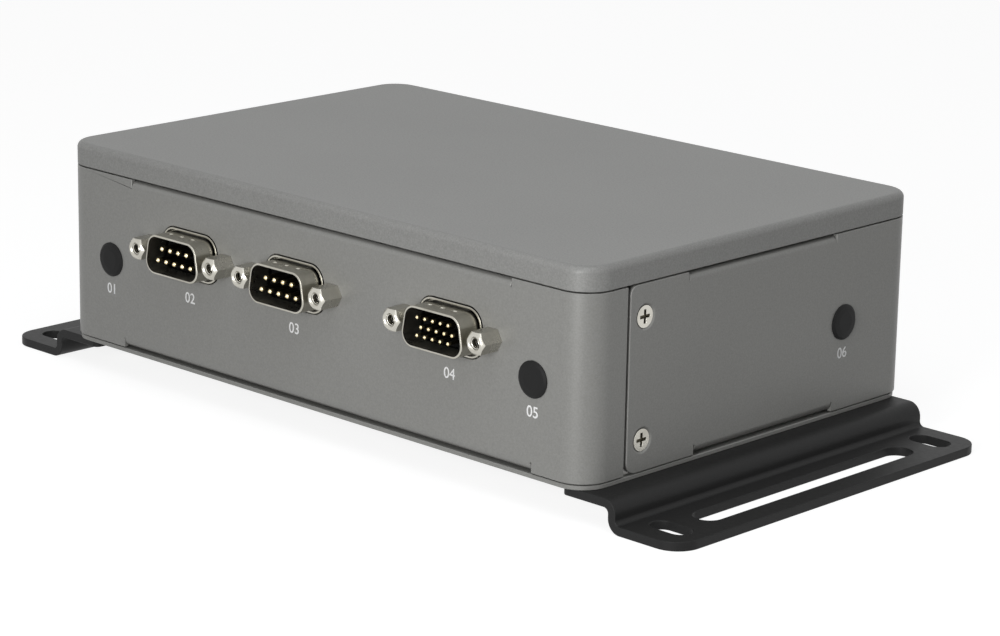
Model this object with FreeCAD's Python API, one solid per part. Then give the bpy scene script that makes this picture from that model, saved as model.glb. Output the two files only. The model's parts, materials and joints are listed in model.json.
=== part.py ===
"""Fanless industrial computer in a folded sheet-metal case on two Z-bent wall brackets.

Millimetres. +X runs along the long side, +Y from the socket side to the rear, +Z up.
The origin is the middle of the four short bracket slots, on the plane the brackets stand on.
"""
import FreeCAD, Part
import math
import os

V = FreeCAD.Vector

# ---------------------------------------------------------------- case
CASE_WIDTH = 166.0
CASE_DEPTH = 108.2
CORNER_R = 7.0            # upright corners, outside
SHEET = 1.2               # front panel and rear shell
SEAM = 0.3                # line left open along a cut edge
WALL_HEIGHT = 40.45       # cut edge to cut edge
COVER_HEIGHT = 5.35
COVER_WALL = 2.0
COVER_EDGE_R = 1.5
BASE_SHEET = 1.0
BASE_INSET = 0.3
PANEL_RETURN = 12.2       # how far the front panel wraps round each side
SIDE_SEAM = 0.8
SHELL_TOP_CORNER_R = 2.0  # free corners of the rear shell
SHELL_LOW_CORNER_R = 3.0
TAB_REACH = 12.0          # front panel's tab behind the rear shell
TAB_EDGE = 4.0
TAB_LAP = 3.4
TAB_CORNER_R = 2.0

# ---------------------------------------------------------------- folded edges
BOTTOM_BEND_R = 1.8
TOP_BEND_R = 1.5
FLANGE_DEPTH = 9.0
FOLD_SLIT = 0.15          # cut at each end of a fold
FOLD_GAP = 0.6            # folded flange to the base plate or the cover
FRONT_BOTTOM_FOLD = (-62.0, 68.0)
FRONT_TOP_FOLD = (-58.9, 61.5)
SIDE_BOTTOM_FOLD = (34.4, 80.6)
SIDE_TOP_FOLD = (31.2, 80.0)
REAR_FOLD = (-61.0, 61.0)

# ---------------------------------------------------------------- wall brackets
BRACKET_LENGTH = 102.5
BRACKET_SETBACK = 2.0     # bracket's front end behind the case's front
BRACKET_SHEET = 2.0
BRACKET_RISE = 7.25
BRACKET_BEND_R = 3.2      # outside of a bend
BRACKET_LAP = 8.0         # reach under the case
WEB_STANDOFF = 5.0        # case side to the web's near face
FOOT_WIDTH = 19.3         # web's near face to the foot's outer edge
FOOT_CORNER_R = 6.0
LAP_CORNER_R = 1.5
FOOT_SLOT_OFFSET = 8.8    # foot's outer edge to the slots' middle
LONG_SLOT = (6.6, 70.4)   # width, length end to end
SHORT_SLOT = (5.3, 10.2)
SHORT_SLOT_SPACING = 87.0

# ---------------------------------------------------------------- fasteners
SCREW_R = 1.45
THREAD_GAP = 0.02
CLEAR_HOLE_R = 1.7
FLAT_HEAD_R = 2.45
SINK_GAP = 0.2            # flat head to its countersink
HEAD_SUNK = 0.2           # side screws' heads below the surface
PAN_HEAD_R = 2.8
PAN_HEAD_H = 1.8
RECESS_SPAN = 3.0
RECESS_WIDTH = 0.7
RECESS_DEPTH = 0.8
SIDE_SCREW_BACK = 17.7    # from the front face
SIDE_SCREW_HEIGHTS = (8.1, 34.6)
CASE_SCREW_X = 45.0
CASE_SCREW_IN = 6.2       # from the front or rear face
BRACKET_SCREW_SPACING = 76.0
BRACKET_SCREW_IN = 4.5    # from the case side
NUT_R = 3.0
NUT_HEIGHT = 2.5

# ---------------------------------------------------------------- D-shaped sockets
SOCKET_HEIGHT = 27.75     # middle above the case's underside
SERIAL_1_X = -38.85
SERIAL_2_X = -4.0
DIGITAL_IO_IN = 38.85     # from the case side
D_WIDTH = 16.92           # inside the metal shell, at its widest
D_HEIGHT = 8.36
D_SLOPE = math.radians(10)
D_CORNER_R = 2.6
D_SHELL = 0.4
D_REACH = 5.55            # shell in front of the panel
D_COLLAR = 0.95           # shell to the outside of the collar round its root
D_COLLAR_WALL = 0.4
D_COLLAR_PROUD = 0.15
D_CUT_GAP = 0.2           # collar to the panel's cut-out
D_FLANGE = (30.8, 12.5)
D_FLANGE_SHEET = 0.5
D_FLANGE_R = 1.5
D_SCREW_SPACING = 24.99
D_FACE = 0.6              # insulator's face behind the panel's face
D_BLOCK = (19.2, 10.8)    # insulator behind the flange
D_PRESS = 0.02
NINE_PIN_R = 0.5
FIFTEEN_PIN_R = 0.38
PIN_TIP = 0.3
PIN_RECESS = 0.5          # tips behind the shell's rim
NINE_PITCH = 2.77
NINE_ROWS = 2.84
FIFTEEN_PITCH = 2.29
FIFTEEN_ROWS = 1.98
DIMPLE_R = 0.7
DIMPLE_DEPTH = 0.3
DIMPLE_PITCH = 3.7
DIMPLE_BACK = 3.0         # behind the shell's rim
HEX_FLATS = 4.75
HEX_LENGTH = 5.65
HEX_CHAMFER = (0.7, 0.75) # along, across
HEX_STUD_R = 1.4
HEX_BORE_R = 1.25
HEX_BORE_DEPTH = 4.4
HEX_MOUTH = 0.35          # chamfer of the threaded mouth
HEX_HOLE_R = 1.6
HEX_NUT_FLATS = 5.0
HEX_NUT_HEIGHT = 2.2

# ---------------------------------------------------------------- antenna hole plugs
PLUG_R = 4.0
PLUG_HEAD = 0.7
PLUG_HOLE_R = 3.2
PLUG_BARB = 0.5
PLUG_BARB_LENGTH = 1.6
PLUG_WALL = 0.9
FRONT_PLUG_HEIGHT = 21.55
FRONT_PLUG_IN = (16.5, 14.7)    # left and right plug, from the case side
SIDE_PLUG_BACK = 83.7
SIDE_PLUG_HEIGHT = 21.35

# ---------------------------------------------------------------- boards
BOARD_SHEET = 1.6
IO_BOARD_BACK = 9.0       # front face behind the case's front face
IO_BOARD_MARGIN = 17.2    # outer sockets' middles to the board's ends
IO_BOARD_HEIGHTS = (13.0, 38.0)
BOARD_TOP = 20.3
BOARD_SIDE_GAP = 10.0
BOARD_FRONT_GAP = 14.0
BOARD_REAR_GAP = 3.0
BOARD_CORNER_R = 2.0
STANDOFF_IN = 5.0         # from the board's edge
STANDOFF_REAR_IN = 15.0
STANDOFF_THREAD = 5.0     # screw length in the standoff
STANDOFF_FLATS = 5.5
LINK_WIDTH = 40.0
LINK_DEPTH = 8.0
LINK_HEIGHT = 8.5

# ---------------------------------------------------------------- on the main board
PROCESSOR = (28.0, 24.0, 1.2)
DIE = (14.0, 10.0, 0.7)
PROCESSOR_BACK = 52.0
BLOCK_FOOT = (54.0, 44.0, 3.0)
BLOCK_CORE = (38.0, 36.0)
BLOCK_SCREW_IN = 4.0
PAD_THICKNESS = 1.0
MEMORY_IN = 29.0          # from the case side
MEMORY_END_GAP = 3.5      # socket's ends to the board's edge and the data sockets
MEMORY_BOARD = (30.0, 1.0)
MEMORY_BOARD_IN = 1.2     # card's ends inside the socket's
MEMORY_LIFT = 3.0
MEMORY_SOCKET = (6.5, 5.2)
MEMORY_CHIP = (11.0, 9.0, 1.0)
MEMORY_CHIP_PITCH = 15.5
DRIVE_IN = 36.0           # from the case side
DRIVE_BACK = 22.0
DRIVE_BOARD = (22.0, 30.0, 0.8)
DRIVE_LIFT = 2.4
DRIVE_SOCKET = (22.0, 8.0, 4.2)
DRIVE_CHIP = (14.0, 12.0, 1.2)
DRIVE_POST_R = 2.2
DRIVE_POST_IN = 1.5
CELL_IN = 33.0            # from the case side
CELL_REAR_IN = 27.2
CELL_R = 10.0
CELL_THICKNESS = 3.2
CELL_HOLDER_R = 11.5
CELL_HOLDER_LIFT = 1.2
CELL_CLEAR = 0.15
CELL_MOUTH = 10.0

# ---------------------------------------------------------------- rear sockets
# Middles across the rear are shares of the case's half width.
PORT_PROUD = 0.3          # in front of the rear wall
PORT_CLEAR = 0.3          # to the wall's cut-out
PORT_SHEET = 0.3
LAN_ACROSS = (0.036, -0.193)
LAN_SIZE = (16.0, 21.0, 13.5)
LAN_MOUTH = (11.9, 8.2)
LAN_LATCH = (6.0, 2.2)
LAN_DEPTH = 13.0
LAN_FLOOR = 1.6
USB_ACROSS = (-0.434, -0.651)
USB_SIZE = (13.2, 17.5, 15.6)
USB_MOUTH = (12.2, 5.2)
USB_DEPTH = 11.0
USB_PITCH = 7.9
USB_TONGUE = (11.0, 1.9)
HDMI_ACROSS = 0.289
HDMI_SIZE = (15.0, 11.0, 5.6)
HDMI_TONGUE = (12.0, 1.0)
HDMI_CHAMFER = 1.8
HDMI_DEPTH = 8.0
HDMI_LIFT = 0.6
HDMI_FOOT = (1.2, 3.0)    # width, depth
HDMI_FOOT_SPACING = 10.0
JACK_ACROSS = 0.518
JACK_SIZE = (9.6, 13.0, 11.0)
JACK_BARREL_R = 4.2
JACK_BORE_R = 3.1
JACK_DEPTH = 9.0
JACK_PIN_R = 1.25
JACK_HEIGHT = 6.5         # barrel's middle above the board
JACK_PROUD = 0.5          # barrel in front of the other sockets
JACK_END = 1.5            # pin's root behind the bore's end
JACK_PIN_IN = 1.0         # pin's tip behind the barrel's face
JACK_PIN_TIP = 0.5
LIGHT_ACROSS = 0.681
LIGHT_R = 1.5
LIGHT_HEIGHT = 7.0
LIGHT_LENGTH = 9.0
LIGHT_BASE = 3.6

# ---------------------------------------------------------------- power button
BUTTON_ACROSS = 0.795     # share of the case's half width
BUTTON_HEIGHT = 7.0       # above the board
BUTTON_R = 4.4
BUTTON_CLEAR = 0.3
BUTTON_PROUD = 1.4
BUTTON_TRAVEL = 0.8
BUTTON_FLANGE = 1.3
BUTTON_FLANGE_SHEET = 1.0
BUTTON_STEM_R = 1.6
BUTTON_STEM_LENGTH = 2.5
SWITCH_SIZE = (7.0, 6.0, 10.5)
SWITCH_PLUNGER_R = 1.7
SWITCH_PLUNGER = 1.0

# ---------------------------------------------------------------- places worked out
FRONT = -BRACKET_LENGTH / 2 - BRACKET_SETBACK
REAR = FRONT + CASE_DEPTH
SIDE = CASE_WIDTH / 2
UNDER = BRACKET_RISE
FLOOR = UNDER + BASE_SHEET
WALL_BOTTOM = FLOOR + SEAM
WALL_TOP = WALL_BOTTOM + WALL_HEIGHT
COVER_BOTTOM = WALL_TOP + SEAM
LOW_FLANGE = FLOOR + FOLD_GAP           # under the flanges that carry the base plate
HIGH_FLANGE = COVER_BOTTOM - FOLD_GAP   # on the flanges that carry the cover
TOP = COVER_BOTTOM + COVER_HEIGHT
BOARD_Z = UNDER + BOARD_TOP
BOARD_REAR = REAR - SHEET - BOARD_REAR_GAP
SOCKET_Z = UNDER + SOCKET_HEIGHT
BRACKET_SCREW_X = SIDE - BRACKET_SCREW_IN
DIGITAL_IO_X = SIDE - DIGITAL_IO_IN
LAN_X = [share * SIDE for share in LAN_ACROSS]
USB_X = [share * SIDE for share in USB_ACROSS]
HDMI_X = HDMI_ACROSS * SIDE
JACK_X = JACK_ACROSS * SIDE
LIGHT_X = LIGHT_ACROSS * SIDE
BUTTON_X = BUTTON_ACROSS * SIDE
FRONT_PLUG_LEFT_X = FRONT_PLUG_IN[0] - SIDE
FRONT_PLUG_RIGHT_X = SIDE - FRONT_PLUG_IN[1]
MEMORY_X = MEMORY_IN - SIDE
DRIVE_X = SIDE - DRIVE_IN
CELL_X = SIDE - CELL_IN
SOCKET_X = (SERIAL_1_X, SERIAL_2_X, DIGITAL_IO_X)
LEFT_RIGHT = (-1, 1)


# ================================================================ shared shapes
def rounded_face(corners, radius):
    """Flat face through the corners, each turned by an arc of its own radius."""
    count = len(corners)
    radii = list(radius) if isinstance(radius, (list, tuple)) else [radius] * count
    arcs = []
    for i, corner in enumerate(corners):
        back = (corners[i - 1] - corner).normalize()
        on = (corners[(i + 1) % count] - corner).normalize()
        half = back.getAngle(on) / 2
        toward = (back + on).normalize()
        start = corner + back * (radii[i] / math.tan(half))
        end = corner + on * (radii[i] / math.tan(half))
        middle = corner + toward * (radii[i] / math.sin(half) - radii[i])
        arcs.append((start, middle, end))
    edges = []
    for i, (start, middle, end) in enumerate(arcs):
        if radii[i] > 0:
            edges.append(Part.Arc(start, middle, end).toShape())
        next_start = arcs[(i + 1) % count][0]
        if (next_start - end).Length > 1e-6:
            edges.append(Part.LineSegment(end, next_start).toShape())
    return Part.Face(Part.Wire(edges))


def block(x0, x1, y0, y1, z0, z1):
    return Part.makeBox(x1 - x0, y1 - y0, z1 - z0, V(x0, y0, z0))


def plate(x0, x1, y0, y1, z0, z1, radius):
    """Block with rounded upright corners."""
    corners = [V(x0, y0, z0), V(x1, y0, z0), V(x1, y1, z0), V(x0, y1, z0)]
    return rounded_face(corners, radius).extrude(V(0, 0, z1 - z0))


def upright(x0, x1, y0, y1, z0, z1, radius):
    """Block with its corners rounded as seen from the front."""
    corners = [V(x0, y0, z0), V(x1, y0, z0), V(x1, y0, z1), V(x0, y0, z1)]
    return rounded_face(corners, radius).extrude(V(0, y1 - y0, 0))


def rod(start, direction, radius, length):
    return Part.makeCylinder(radius, length, start, direction)


def turned(profile, start, direction):
    """Solid of revolution: (along, radius) points from the start, closed on the axis."""
    points = [V(radius, 0, along) for along, radius in profile]
    points.append(V(0, 0, profile[-1][0]))
    points.append(V(0, 0, profile[0][0]))
    kept = [points[0]]
    for point in points[1:]:
        if (point - kept[-1]).Length > 1e-6:
            kept.append(point)
    kept.append(kept[0])
    solid = Part.Face(Part.makePolygon(kept)).revolve(V(0, 0, 0), V(0, 0, 1), 360)
    solid.Placement = FreeCAD.Placement(start, FreeCAD.Rotation(V(0, 0, 1), direction))
    return solid


def hexagon(start, direction, flats, length):
    """Hexagonal bar, flats given across."""
    radius = flats / math.sqrt(3)
    points = [V(radius * math.cos(math.radians(60 * i)), radius * math.sin(math.radians(60 * i)), 0)
              for i in range(7)]
    bar = Part.Face(Part.makePolygon(points)).extrude(V(0, 0, length))
    bar.Placement = FreeCAD.Placement(start, FreeCAD.Rotation(V(0, 0, 1), direction))
    return bar


def fuse(first, *others):
    return first.fuse(list(others)).removeSplitter() if others else first


def cut(body, *tools):
    return body.cut(list(tools))


def group(solids):
    return Part.makeCompound(list(solids))


def cross_recess(face, direction):
    """Tool for a cross recess sunk from the face along the direction."""
    arms = []
    for turn in (0, 90):
        arm = Part.makeBox(RECESS_SPAN, RECESS_WIDTH, RECESS_DEPTH, V(-RECESS_SPAN / 2, -RECESS_WIDTH / 2, 0))
        arm.rotate(V(0, 0, 0), V(0, 0, 1), turn)
        arms.append(arm)
    tool = arms[0].fuse(arms[1])
    tool.Placement = FreeCAD.Placement(face, FreeCAD.Rotation(V(0, 0, 1), direction))
    return tool


def flat_screw(face, direction, length, sunk):
    """Countersunk screw: its head lies sunk below the face, its shank runs along the direction."""
    cone = FLAT_HEAD_R - SCREW_R
    head = face + direction * sunk
    profile = [(0, FLAT_HEAD_R), (cone, SCREW_R), (length - sunk, SCREW_R)]
    return cut(turned(profile, head, direction), cross_recess(head, direction))


def flat_screw_hole(face, direction, depth, sunk):
    """Countersink and clearance hole for a flat screw."""
    wide = FLAT_HEAD_R + sunk + SINK_GAP
    profile = [(0, wide), (wide - CLEAR_HOLE_R, CLEAR_HOLE_R), (depth, CLEAR_HOLE_R)]
    return turned(profile, face, direction)


def pan_screw(seat, direction, length):
    """Pan-head screw: the seat is under its head, its shank runs along the direction."""
    dome = PAN_HEAD_R * 0.3
    profile = [(-PAN_HEAD_H, PAN_HEAD_R - dome), (-PAN_HEAD_H + dome, PAN_HEAD_R), (0, PAN_HEAD_R),
               (0, SCREW_R), (length, SCREW_R)]
    top = seat - V(direction) * PAN_HEAD_H
    return cut(turned(profile, seat, direction), cross_recess(top, direction))


# ================================================================ case
def case_ring():
    """The four upright walls as one folded ring."""
    outer = plate(-SIDE, SIDE, FRONT, REAR, WALL_BOTTOM, WALL_TOP, CORNER_R)
    inner = plate(-SIDE + SHEET, SIDE - SHEET, FRONT + SHEET, REAR - SHEET, WALL_BOTTOM, WALL_TOP,
                  CORNER_R - SHEET)
    return outer.cut(inner)


def fold(wall, at, inward, span, level, up, bend_r):
    """Turn a wall's edge inwards over a span, with a slit at each end.

    at is a point on the wall's outer face, inward points into the case, the span runs along the wall,
    level is the plane the folded flange lies on, and up (1 or -1) leads from it to the wall.
    """
    along = V(abs(inward.y), abs(inward.x), 0)
    origin = V(at.x * abs(inward.x), at.y * abs(inward.y), 0)
    rise = bend_r + FOLD_SLIT

    def point(depth, height, place):
        return origin + inward * depth + V(0, 0, level + up * height) + along * place

    start, end = span
    shape = [(0, rise), (0, 0), (FLANGE_DEPTH, 0), (FLANGE_DEPTH, SHEET), (SHEET, SHEET), (SHEET, rise)]
    corners = [point(depth, height, start) for depth, height in shape]
    flange = rounded_face(corners, [0, bend_r, 0, 0, bend_r - SHEET, 0]).extrude(along * (end - start))
    low = point(-1, -1, start - FOLD_SLIT)
    high = point(SHEET + 0.5, rise, end + FOLD_SLIT)
    notch = block(min(low.x, high.x), max(low.x, high.x), min(low.y, high.y), max(low.y, high.y),
                  min(low.z, high.z), max(low.z, high.z))
    return fuse(wall.cut(notch), flange)


def case_screw_places():
    """Screws that hold the base and the cover to the folded flanges."""
    return [V(side * CASE_SCREW_X, y, 0) for side in LEFT_RIGHT
            for y in (FRONT + CASE_SCREW_IN, REAR - CASE_SCREW_IN)]


def flange_holes(place):
    """Threaded hole in the flange over the base plate, clearance hole in the one under the cover."""
    low = V(place.x, place.y, LOW_FLANGE - 1)
    high = V(place.x, place.y, HIGH_FLANGE - SHEET - 1)
    return [rod(low, V(0, 0, 1), SCREW_R + THREAD_GAP, SHEET + 2), rod(high, V(0, 0, 1), CLEAR_HOLE_R, SHEET + 2)]


def front_panel():
    region = block(-SIDE, SIDE, FRONT, FRONT + PANEL_RETURN, WALL_BOTTOM, WALL_TOP)
    panel = case_ring().common(region)
    for side in LEFT_RIGHT:
        inner = side * (SIDE - SHEET)
        deep = inner - side * SHEET
        corners = [V(inner, FRONT + PANEL_RETURN - TAB_LAP, WALL_BOTTOM + TAB_EDGE),
                   V(inner, FRONT + PANEL_RETURN + TAB_REACH, WALL_BOTTOM + TAB_EDGE),
                   V(inner, FRONT + PANEL_RETURN + TAB_REACH, WALL_TOP - TAB_EDGE),
                   V(inner, FRONT + PANEL_RETURN - TAB_LAP, WALL_TOP - TAB_EDGE)]
        tab = rounded_face(corners, [0, TAB_CORNER_R, TAB_CORNER_R, 0]).extrude(V(deep - inner, 0, 0))
        panel = fuse(panel, tab)
    at = V(0, FRONT, 0)
    panel = fold(panel, at, V(0, 1, 0), FRONT_BOTTOM_FOLD, LOW_FLANGE, 1, BOTTOM_BEND_R)
    panel = fold(panel, at, V(0, 1, 0), FRONT_TOP_FOLD, HIGH_FLANGE, -1, TOP_BEND_R)
    tools = []
    for x in SOCKET_X:
        tools.append(d_prism(x, D_SHELL + D_COLLAR + D_CUT_GAP, FRONT - 1, FRONT + SHEET + 1))
        for side in LEFT_RIGHT:
            hole = V(x + side * D_SCREW_SPACING / 2, FRONT - 1, SOCKET_Z)
            tools.append(rod(hole, V(0, 1, 0), HEX_HOLE_R, SHEET + 2))
    for x in (FRONT_PLUG_LEFT_X, FRONT_PLUG_RIGHT_X):
        tools.append(rod(V(x, FRONT - 1, UNDER + FRONT_PLUG_HEIGHT), V(0, 1, 0), PLUG_HOLE_R, SHEET + 2))
    for place in case_screw_places():
        if place.y < 0:
            tools += flange_holes(place)
    for side, place in side_screw_places():
        tools.append(rod(place, V(-side, 0, 0), SCREW_R + THREAD_GAP, 2 * SHEET + 1))
    return cut(panel, *tools)


def side_screw_places():
    return [(side, V(side * SIDE, FRONT + SIDE_SCREW_BACK, UNDER + height))
            for side in LEFT_RIGHT for height in SIDE_SCREW_HEIGHTS]


def rear_shell():
    edge = FRONT + PANEL_RETURN + SIDE_SEAM
    corners = [V(-SIDE, edge, WALL_BOTTOM), V(-SIDE, REAR, WALL_BOTTOM), V(-SIDE, REAR, WALL_TOP),
               V(-SIDE, edge, WALL_TOP)]
    radii = [SHELL_LOW_CORNER_R, 0, 0, SHELL_TOP_CORNER_R]
    region = rounded_face(corners, radii).extrude(V(CASE_WIDTH, 0, 0))
    shell = case_ring().common(region)
    bottom = (FRONT + SIDE_BOTTOM_FOLD[0], FRONT + SIDE_BOTTOM_FOLD[1])
    top = (FRONT + SIDE_TOP_FOLD[0], FRONT + SIDE_TOP_FOLD[1])
    for side in LEFT_RIGHT:
        at = V(side * SIDE, 0, 0)
        inward = V(-side, 0, 0)
        shell = fold(shell, at, inward, bottom, LOW_FLANGE, 1, BOTTOM_BEND_R)
        shell = fold(shell, at, inward, top, HIGH_FLANGE, -1, TOP_BEND_R)
    at = V(0, REAR, 0)
    shell = fold(shell, at, V(0, -1, 0), REAR_FOLD, LOW_FLANGE, 1, BOTTOM_BEND_R)
    shell = fold(shell, at, V(0, -1, 0), REAR_FOLD, HIGH_FLANGE, -1, TOP_BEND_R)
    tools = [flat_screw_hole(place, V(-side, 0, 0), SHEET + 0.5, HEAD_SUNK)
             for side, place in side_screw_places()]
    side_plug = V(SIDE + 1, FRONT + SIDE_PLUG_BACK, UNDER + SIDE_PLUG_HEIGHT)
    tools.append(rod(side_plug, V(-1, 0, 0), PLUG_HOLE_R, SHEET + 2))
    for place in case_screw_places():
        if place.y > 0:
            tools += flange_holes(place)
    tools += rear_cutouts()
    return cut(shell, *tools)


def rear_cutouts():
    """Holes in the rear wall for the sockets, the light and the button."""
    y0 = REAR - SHEET - 1
    y1 = REAR + 1
    tools = []
    for xs, (width, depth, height) in ((LAN_X, LAN_SIZE), (USB_X, USB_SIZE)):
        for x in xs:
            reach = width / 2 + PORT_CLEAR
            tools.append(upright(x - reach, x + reach, y0, y1, BOARD_Z - PORT_CLEAR,
                                 BOARD_Z + height + PORT_CLEAR, 0.6))
    tools.append(hdmi_prism(PORT_CLEAR, y0, y1))
    jack = V(JACK_X, y0, BOARD_Z + JACK_HEIGHT)
    tools.append(rod(jack, V(0, 1, 0), JACK_BARREL_R + PORT_CLEAR, y1 - y0))
    light = V(LIGHT_X, y0, BOARD_Z + LIGHT_HEIGHT)
    tools.append(rod(light, V(0, 1, 0), LIGHT_R + PORT_CLEAR / 2, y1 - y0))
    button = V(BUTTON_X, y0, BOARD_Z + BUTTON_HEIGHT)
    tools.append(rod(button, V(0, 1, 0), BUTTON_R + BUTTON_CLEAR, y1 - y0))
    return tools


def top_cover():
    """Shallow tray, open below, with screw bosses behind the front and rear flanges."""
    outer = plate(-SIDE, SIDE, FRONT, REAR, COVER_BOTTOM, TOP, CORNER_R)
    rim = [edge for edge in outer.Edges
           if all(abs(vertex.Z - TOP) < 1e-6 for vertex in edge.Vertexes)]
    outer = outer.makeFillet(COVER_EDGE_R, rim)
    inner = plate(-SIDE + COVER_WALL, SIDE - COVER_WALL, FRONT + COVER_WALL, REAR - COVER_WALL,
                  COVER_BOTTOM, TOP - COVER_WALL, CORNER_R - COVER_WALL)
    cover = outer.cut(inner)
    bosses = [rod(V(p.x, p.y, HIGH_FLANGE), V(0, 0, 1), NUT_R, TOP - COVER_WALL - HIGH_FLANGE)
              for p in case_screw_places()]
    cover = fuse(cover, *bosses)
    holes = [rod(V(p.x, p.y, HIGH_FLANGE), V(0, 0, 1), SCREW_R + THREAD_GAP, cover_screw_length())
             for p in case_screw_places()]
    return cut(cover, *holes)


def cover_screw_length():
    return SHEET + FOLD_GAP + COVER_HEIGHT - 1.4 * COVER_WALL


def base_plate():
    """Flat plate with a pad under each flange screw."""
    base = plate(-SIDE + BASE_INSET, SIDE - BASE_INSET, FRONT + BASE_INSET, REAR - BASE_INSET,
                 UNDER, FLOOR, CORNER_R - BASE_INSET)
    pads = [rod(V(p.x, p.y, FLOOR), V(0, 0, 1), NUT_R, FOLD_GAP) for p in case_screw_places()]
    base = fuse(base, *pads)
    tools = []
    for place in case_screw_places() + standoff_places():
        depth = BASE_SHEET + FOLD_GAP + 0.5
        tools.append(flat_screw_hole(V(place.x, place.y, UNDER), V(0, 0, 1), depth, 0))
    for place in bracket_screw_places():
        tools.append(rod(V(place.x, place.y, UNDER - 1), V(0, 0, 1), CLEAR_HOLE_R, BASE_SHEET + 2))
    return cut(base, *tools)


def side_screws():
    length = 2 * SHEET + 1.5
    return group(flat_screw(place, V(-side, 0, 0), length, HEAD_SUNK) for side, place in side_screw_places())


def base_screws():
    length = BASE_SHEET + FOLD_GAP + SHEET + 1.0
    return group(flat_screw(V(p.x, p.y, UNDER), V(0, 0, 1), length, 0) for p in case_screw_places())


def cover_screws():
    seat = HIGH_FLANGE - SHEET
    return group(pan_screw(V(p.x, p.y, seat), V(0, 0, 1), cover_screw_length())
                 for p in case_screw_places())


# ================================================================ wall brackets
def bracket_screw_places():
    return [V(side * BRACKET_SCREW_X, end * BRACKET_SCREW_SPACING / 2, 0)
            for side in LEFT_RIGHT for end in LEFT_RIGHT]


def bracket(side):
    """Z-bent strip: lap under the case, web down, foot out, with one long and two short slots."""
    half = BRACKET_LENGTH / 2
    web = SIDE + WEB_STANDOFF
    far = web + BRACKET_SHEET
    tip = web + FOOT_WIDTH
    inner_r = BRACKET_BEND_R - BRACKET_SHEET
    shape = [(SIDE - BRACKET_LAP, BRACKET_RISE), (SIDE - BRACKET_LAP, BRACKET_RISE - BRACKET_SHEET),
             (web, BRACKET_RISE - BRACKET_SHEET), (web, 0), (tip, 0), (tip, BRACKET_SHEET),
             (far, BRACKET_SHEET), (far, BRACKET_RISE)]
    corners = [V(side * x, -half, z) for x, z in shape]
    radii = [0, 0, inner_r, BRACKET_BEND_R, 0, 0, inner_r, BRACKET_BEND_R]
    strip = rounded_face(corners, radii).extrude(V(0, BRACKET_LENGTH, 0))
    low, high = sorted((side * (SIDE - BRACKET_LAP), side * tip))
    at_low, at_high = (LAP_CORNER_R, FOOT_CORNER_R) if side > 0 else (FOOT_CORNER_R, LAP_CORNER_R)
    radii = [at_low, at_high, at_high, at_low]
    strip = strip.common(plate(low, high, -half, half, 0, BRACKET_RISE, radii))
    middle = side * (tip - FOOT_SLOT_OFFSET)
    tools = []
    width, length = LONG_SLOT
    tools.append(plate(middle - width / 2, middle + width / 2, -length / 2, length / 2,
                       -1, BRACKET_SHEET + 1, width / 2 - 0.001))
    width, length = SHORT_SLOT
    for end in LEFT_RIGHT:
        y = end * SHORT_SLOT_SPACING / 2
        tools.append(plate(middle - length / 2, middle + length / 2, y - width / 2, y + width / 2,
                           -1, BRACKET_SHEET + 1, width / 2 - 0.001))
    for place in bracket_screw_places():
        if place.x * side > 0:
            below = V(place.x, place.y, BRACKET_RISE - BRACKET_SHEET - 1)
            tools.append(rod(below, V(0, 0, 1), CLEAR_HOLE_R, BRACKET_SHEET + 2))
    return cut(strip, *tools)


def bracket_screws():
    length = BRACKET_SHEET + BASE_SHEET + NUT_HEIGHT
    seat = BRACKET_RISE - BRACKET_SHEET
    return group(pan_screw(V(p.x, p.y, seat), V(0, 0, 1), length) for p in bracket_screw_places())


def clinch_nuts():
    nuts = []
    for place in bracket_screw_places():
        seat = V(place.x, place.y, FLOOR)
        nut = rod(seat, V(0, 0, 1), NUT_R, NUT_HEIGHT)
        nuts.append(nut.cut(rod(seat, V(0, 0, 1), SCREW_R + THREAD_GAP, NUT_HEIGHT)))
    return group(nuts)


# ================================================================ D-shaped sockets
def d_prism(x, grow, y0, y1):
    """The D outline, wide side down, moved outwards by grow and drawn out along Y."""
    half = D_HEIGHT / 2
    bottom_angle = (math.pi / 2 - D_SLOPE) / 2
    sharp = D_WIDTH / 2 + D_CORNER_R * (1 / math.tan(bottom_angle) - 1)

    def reach(height):
        return sharp - (height + half) * math.tan(D_SLOPE) + grow / math.cos(D_SLOPE)

    low = -half - grow
    high = half + grow
    corners = [V(x - reach(low), y0, SOCKET_Z + low), V(x + reach(low), y0, SOCKET_Z + low),
               V(x + reach(high), y0, SOCKET_Z + high), V(x - reach(high), y0, SOCKET_Z + high)]
    return rounded_face(corners, D_CORNER_R + grow).extrude(V(0, y1 - y0, 0))


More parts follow.
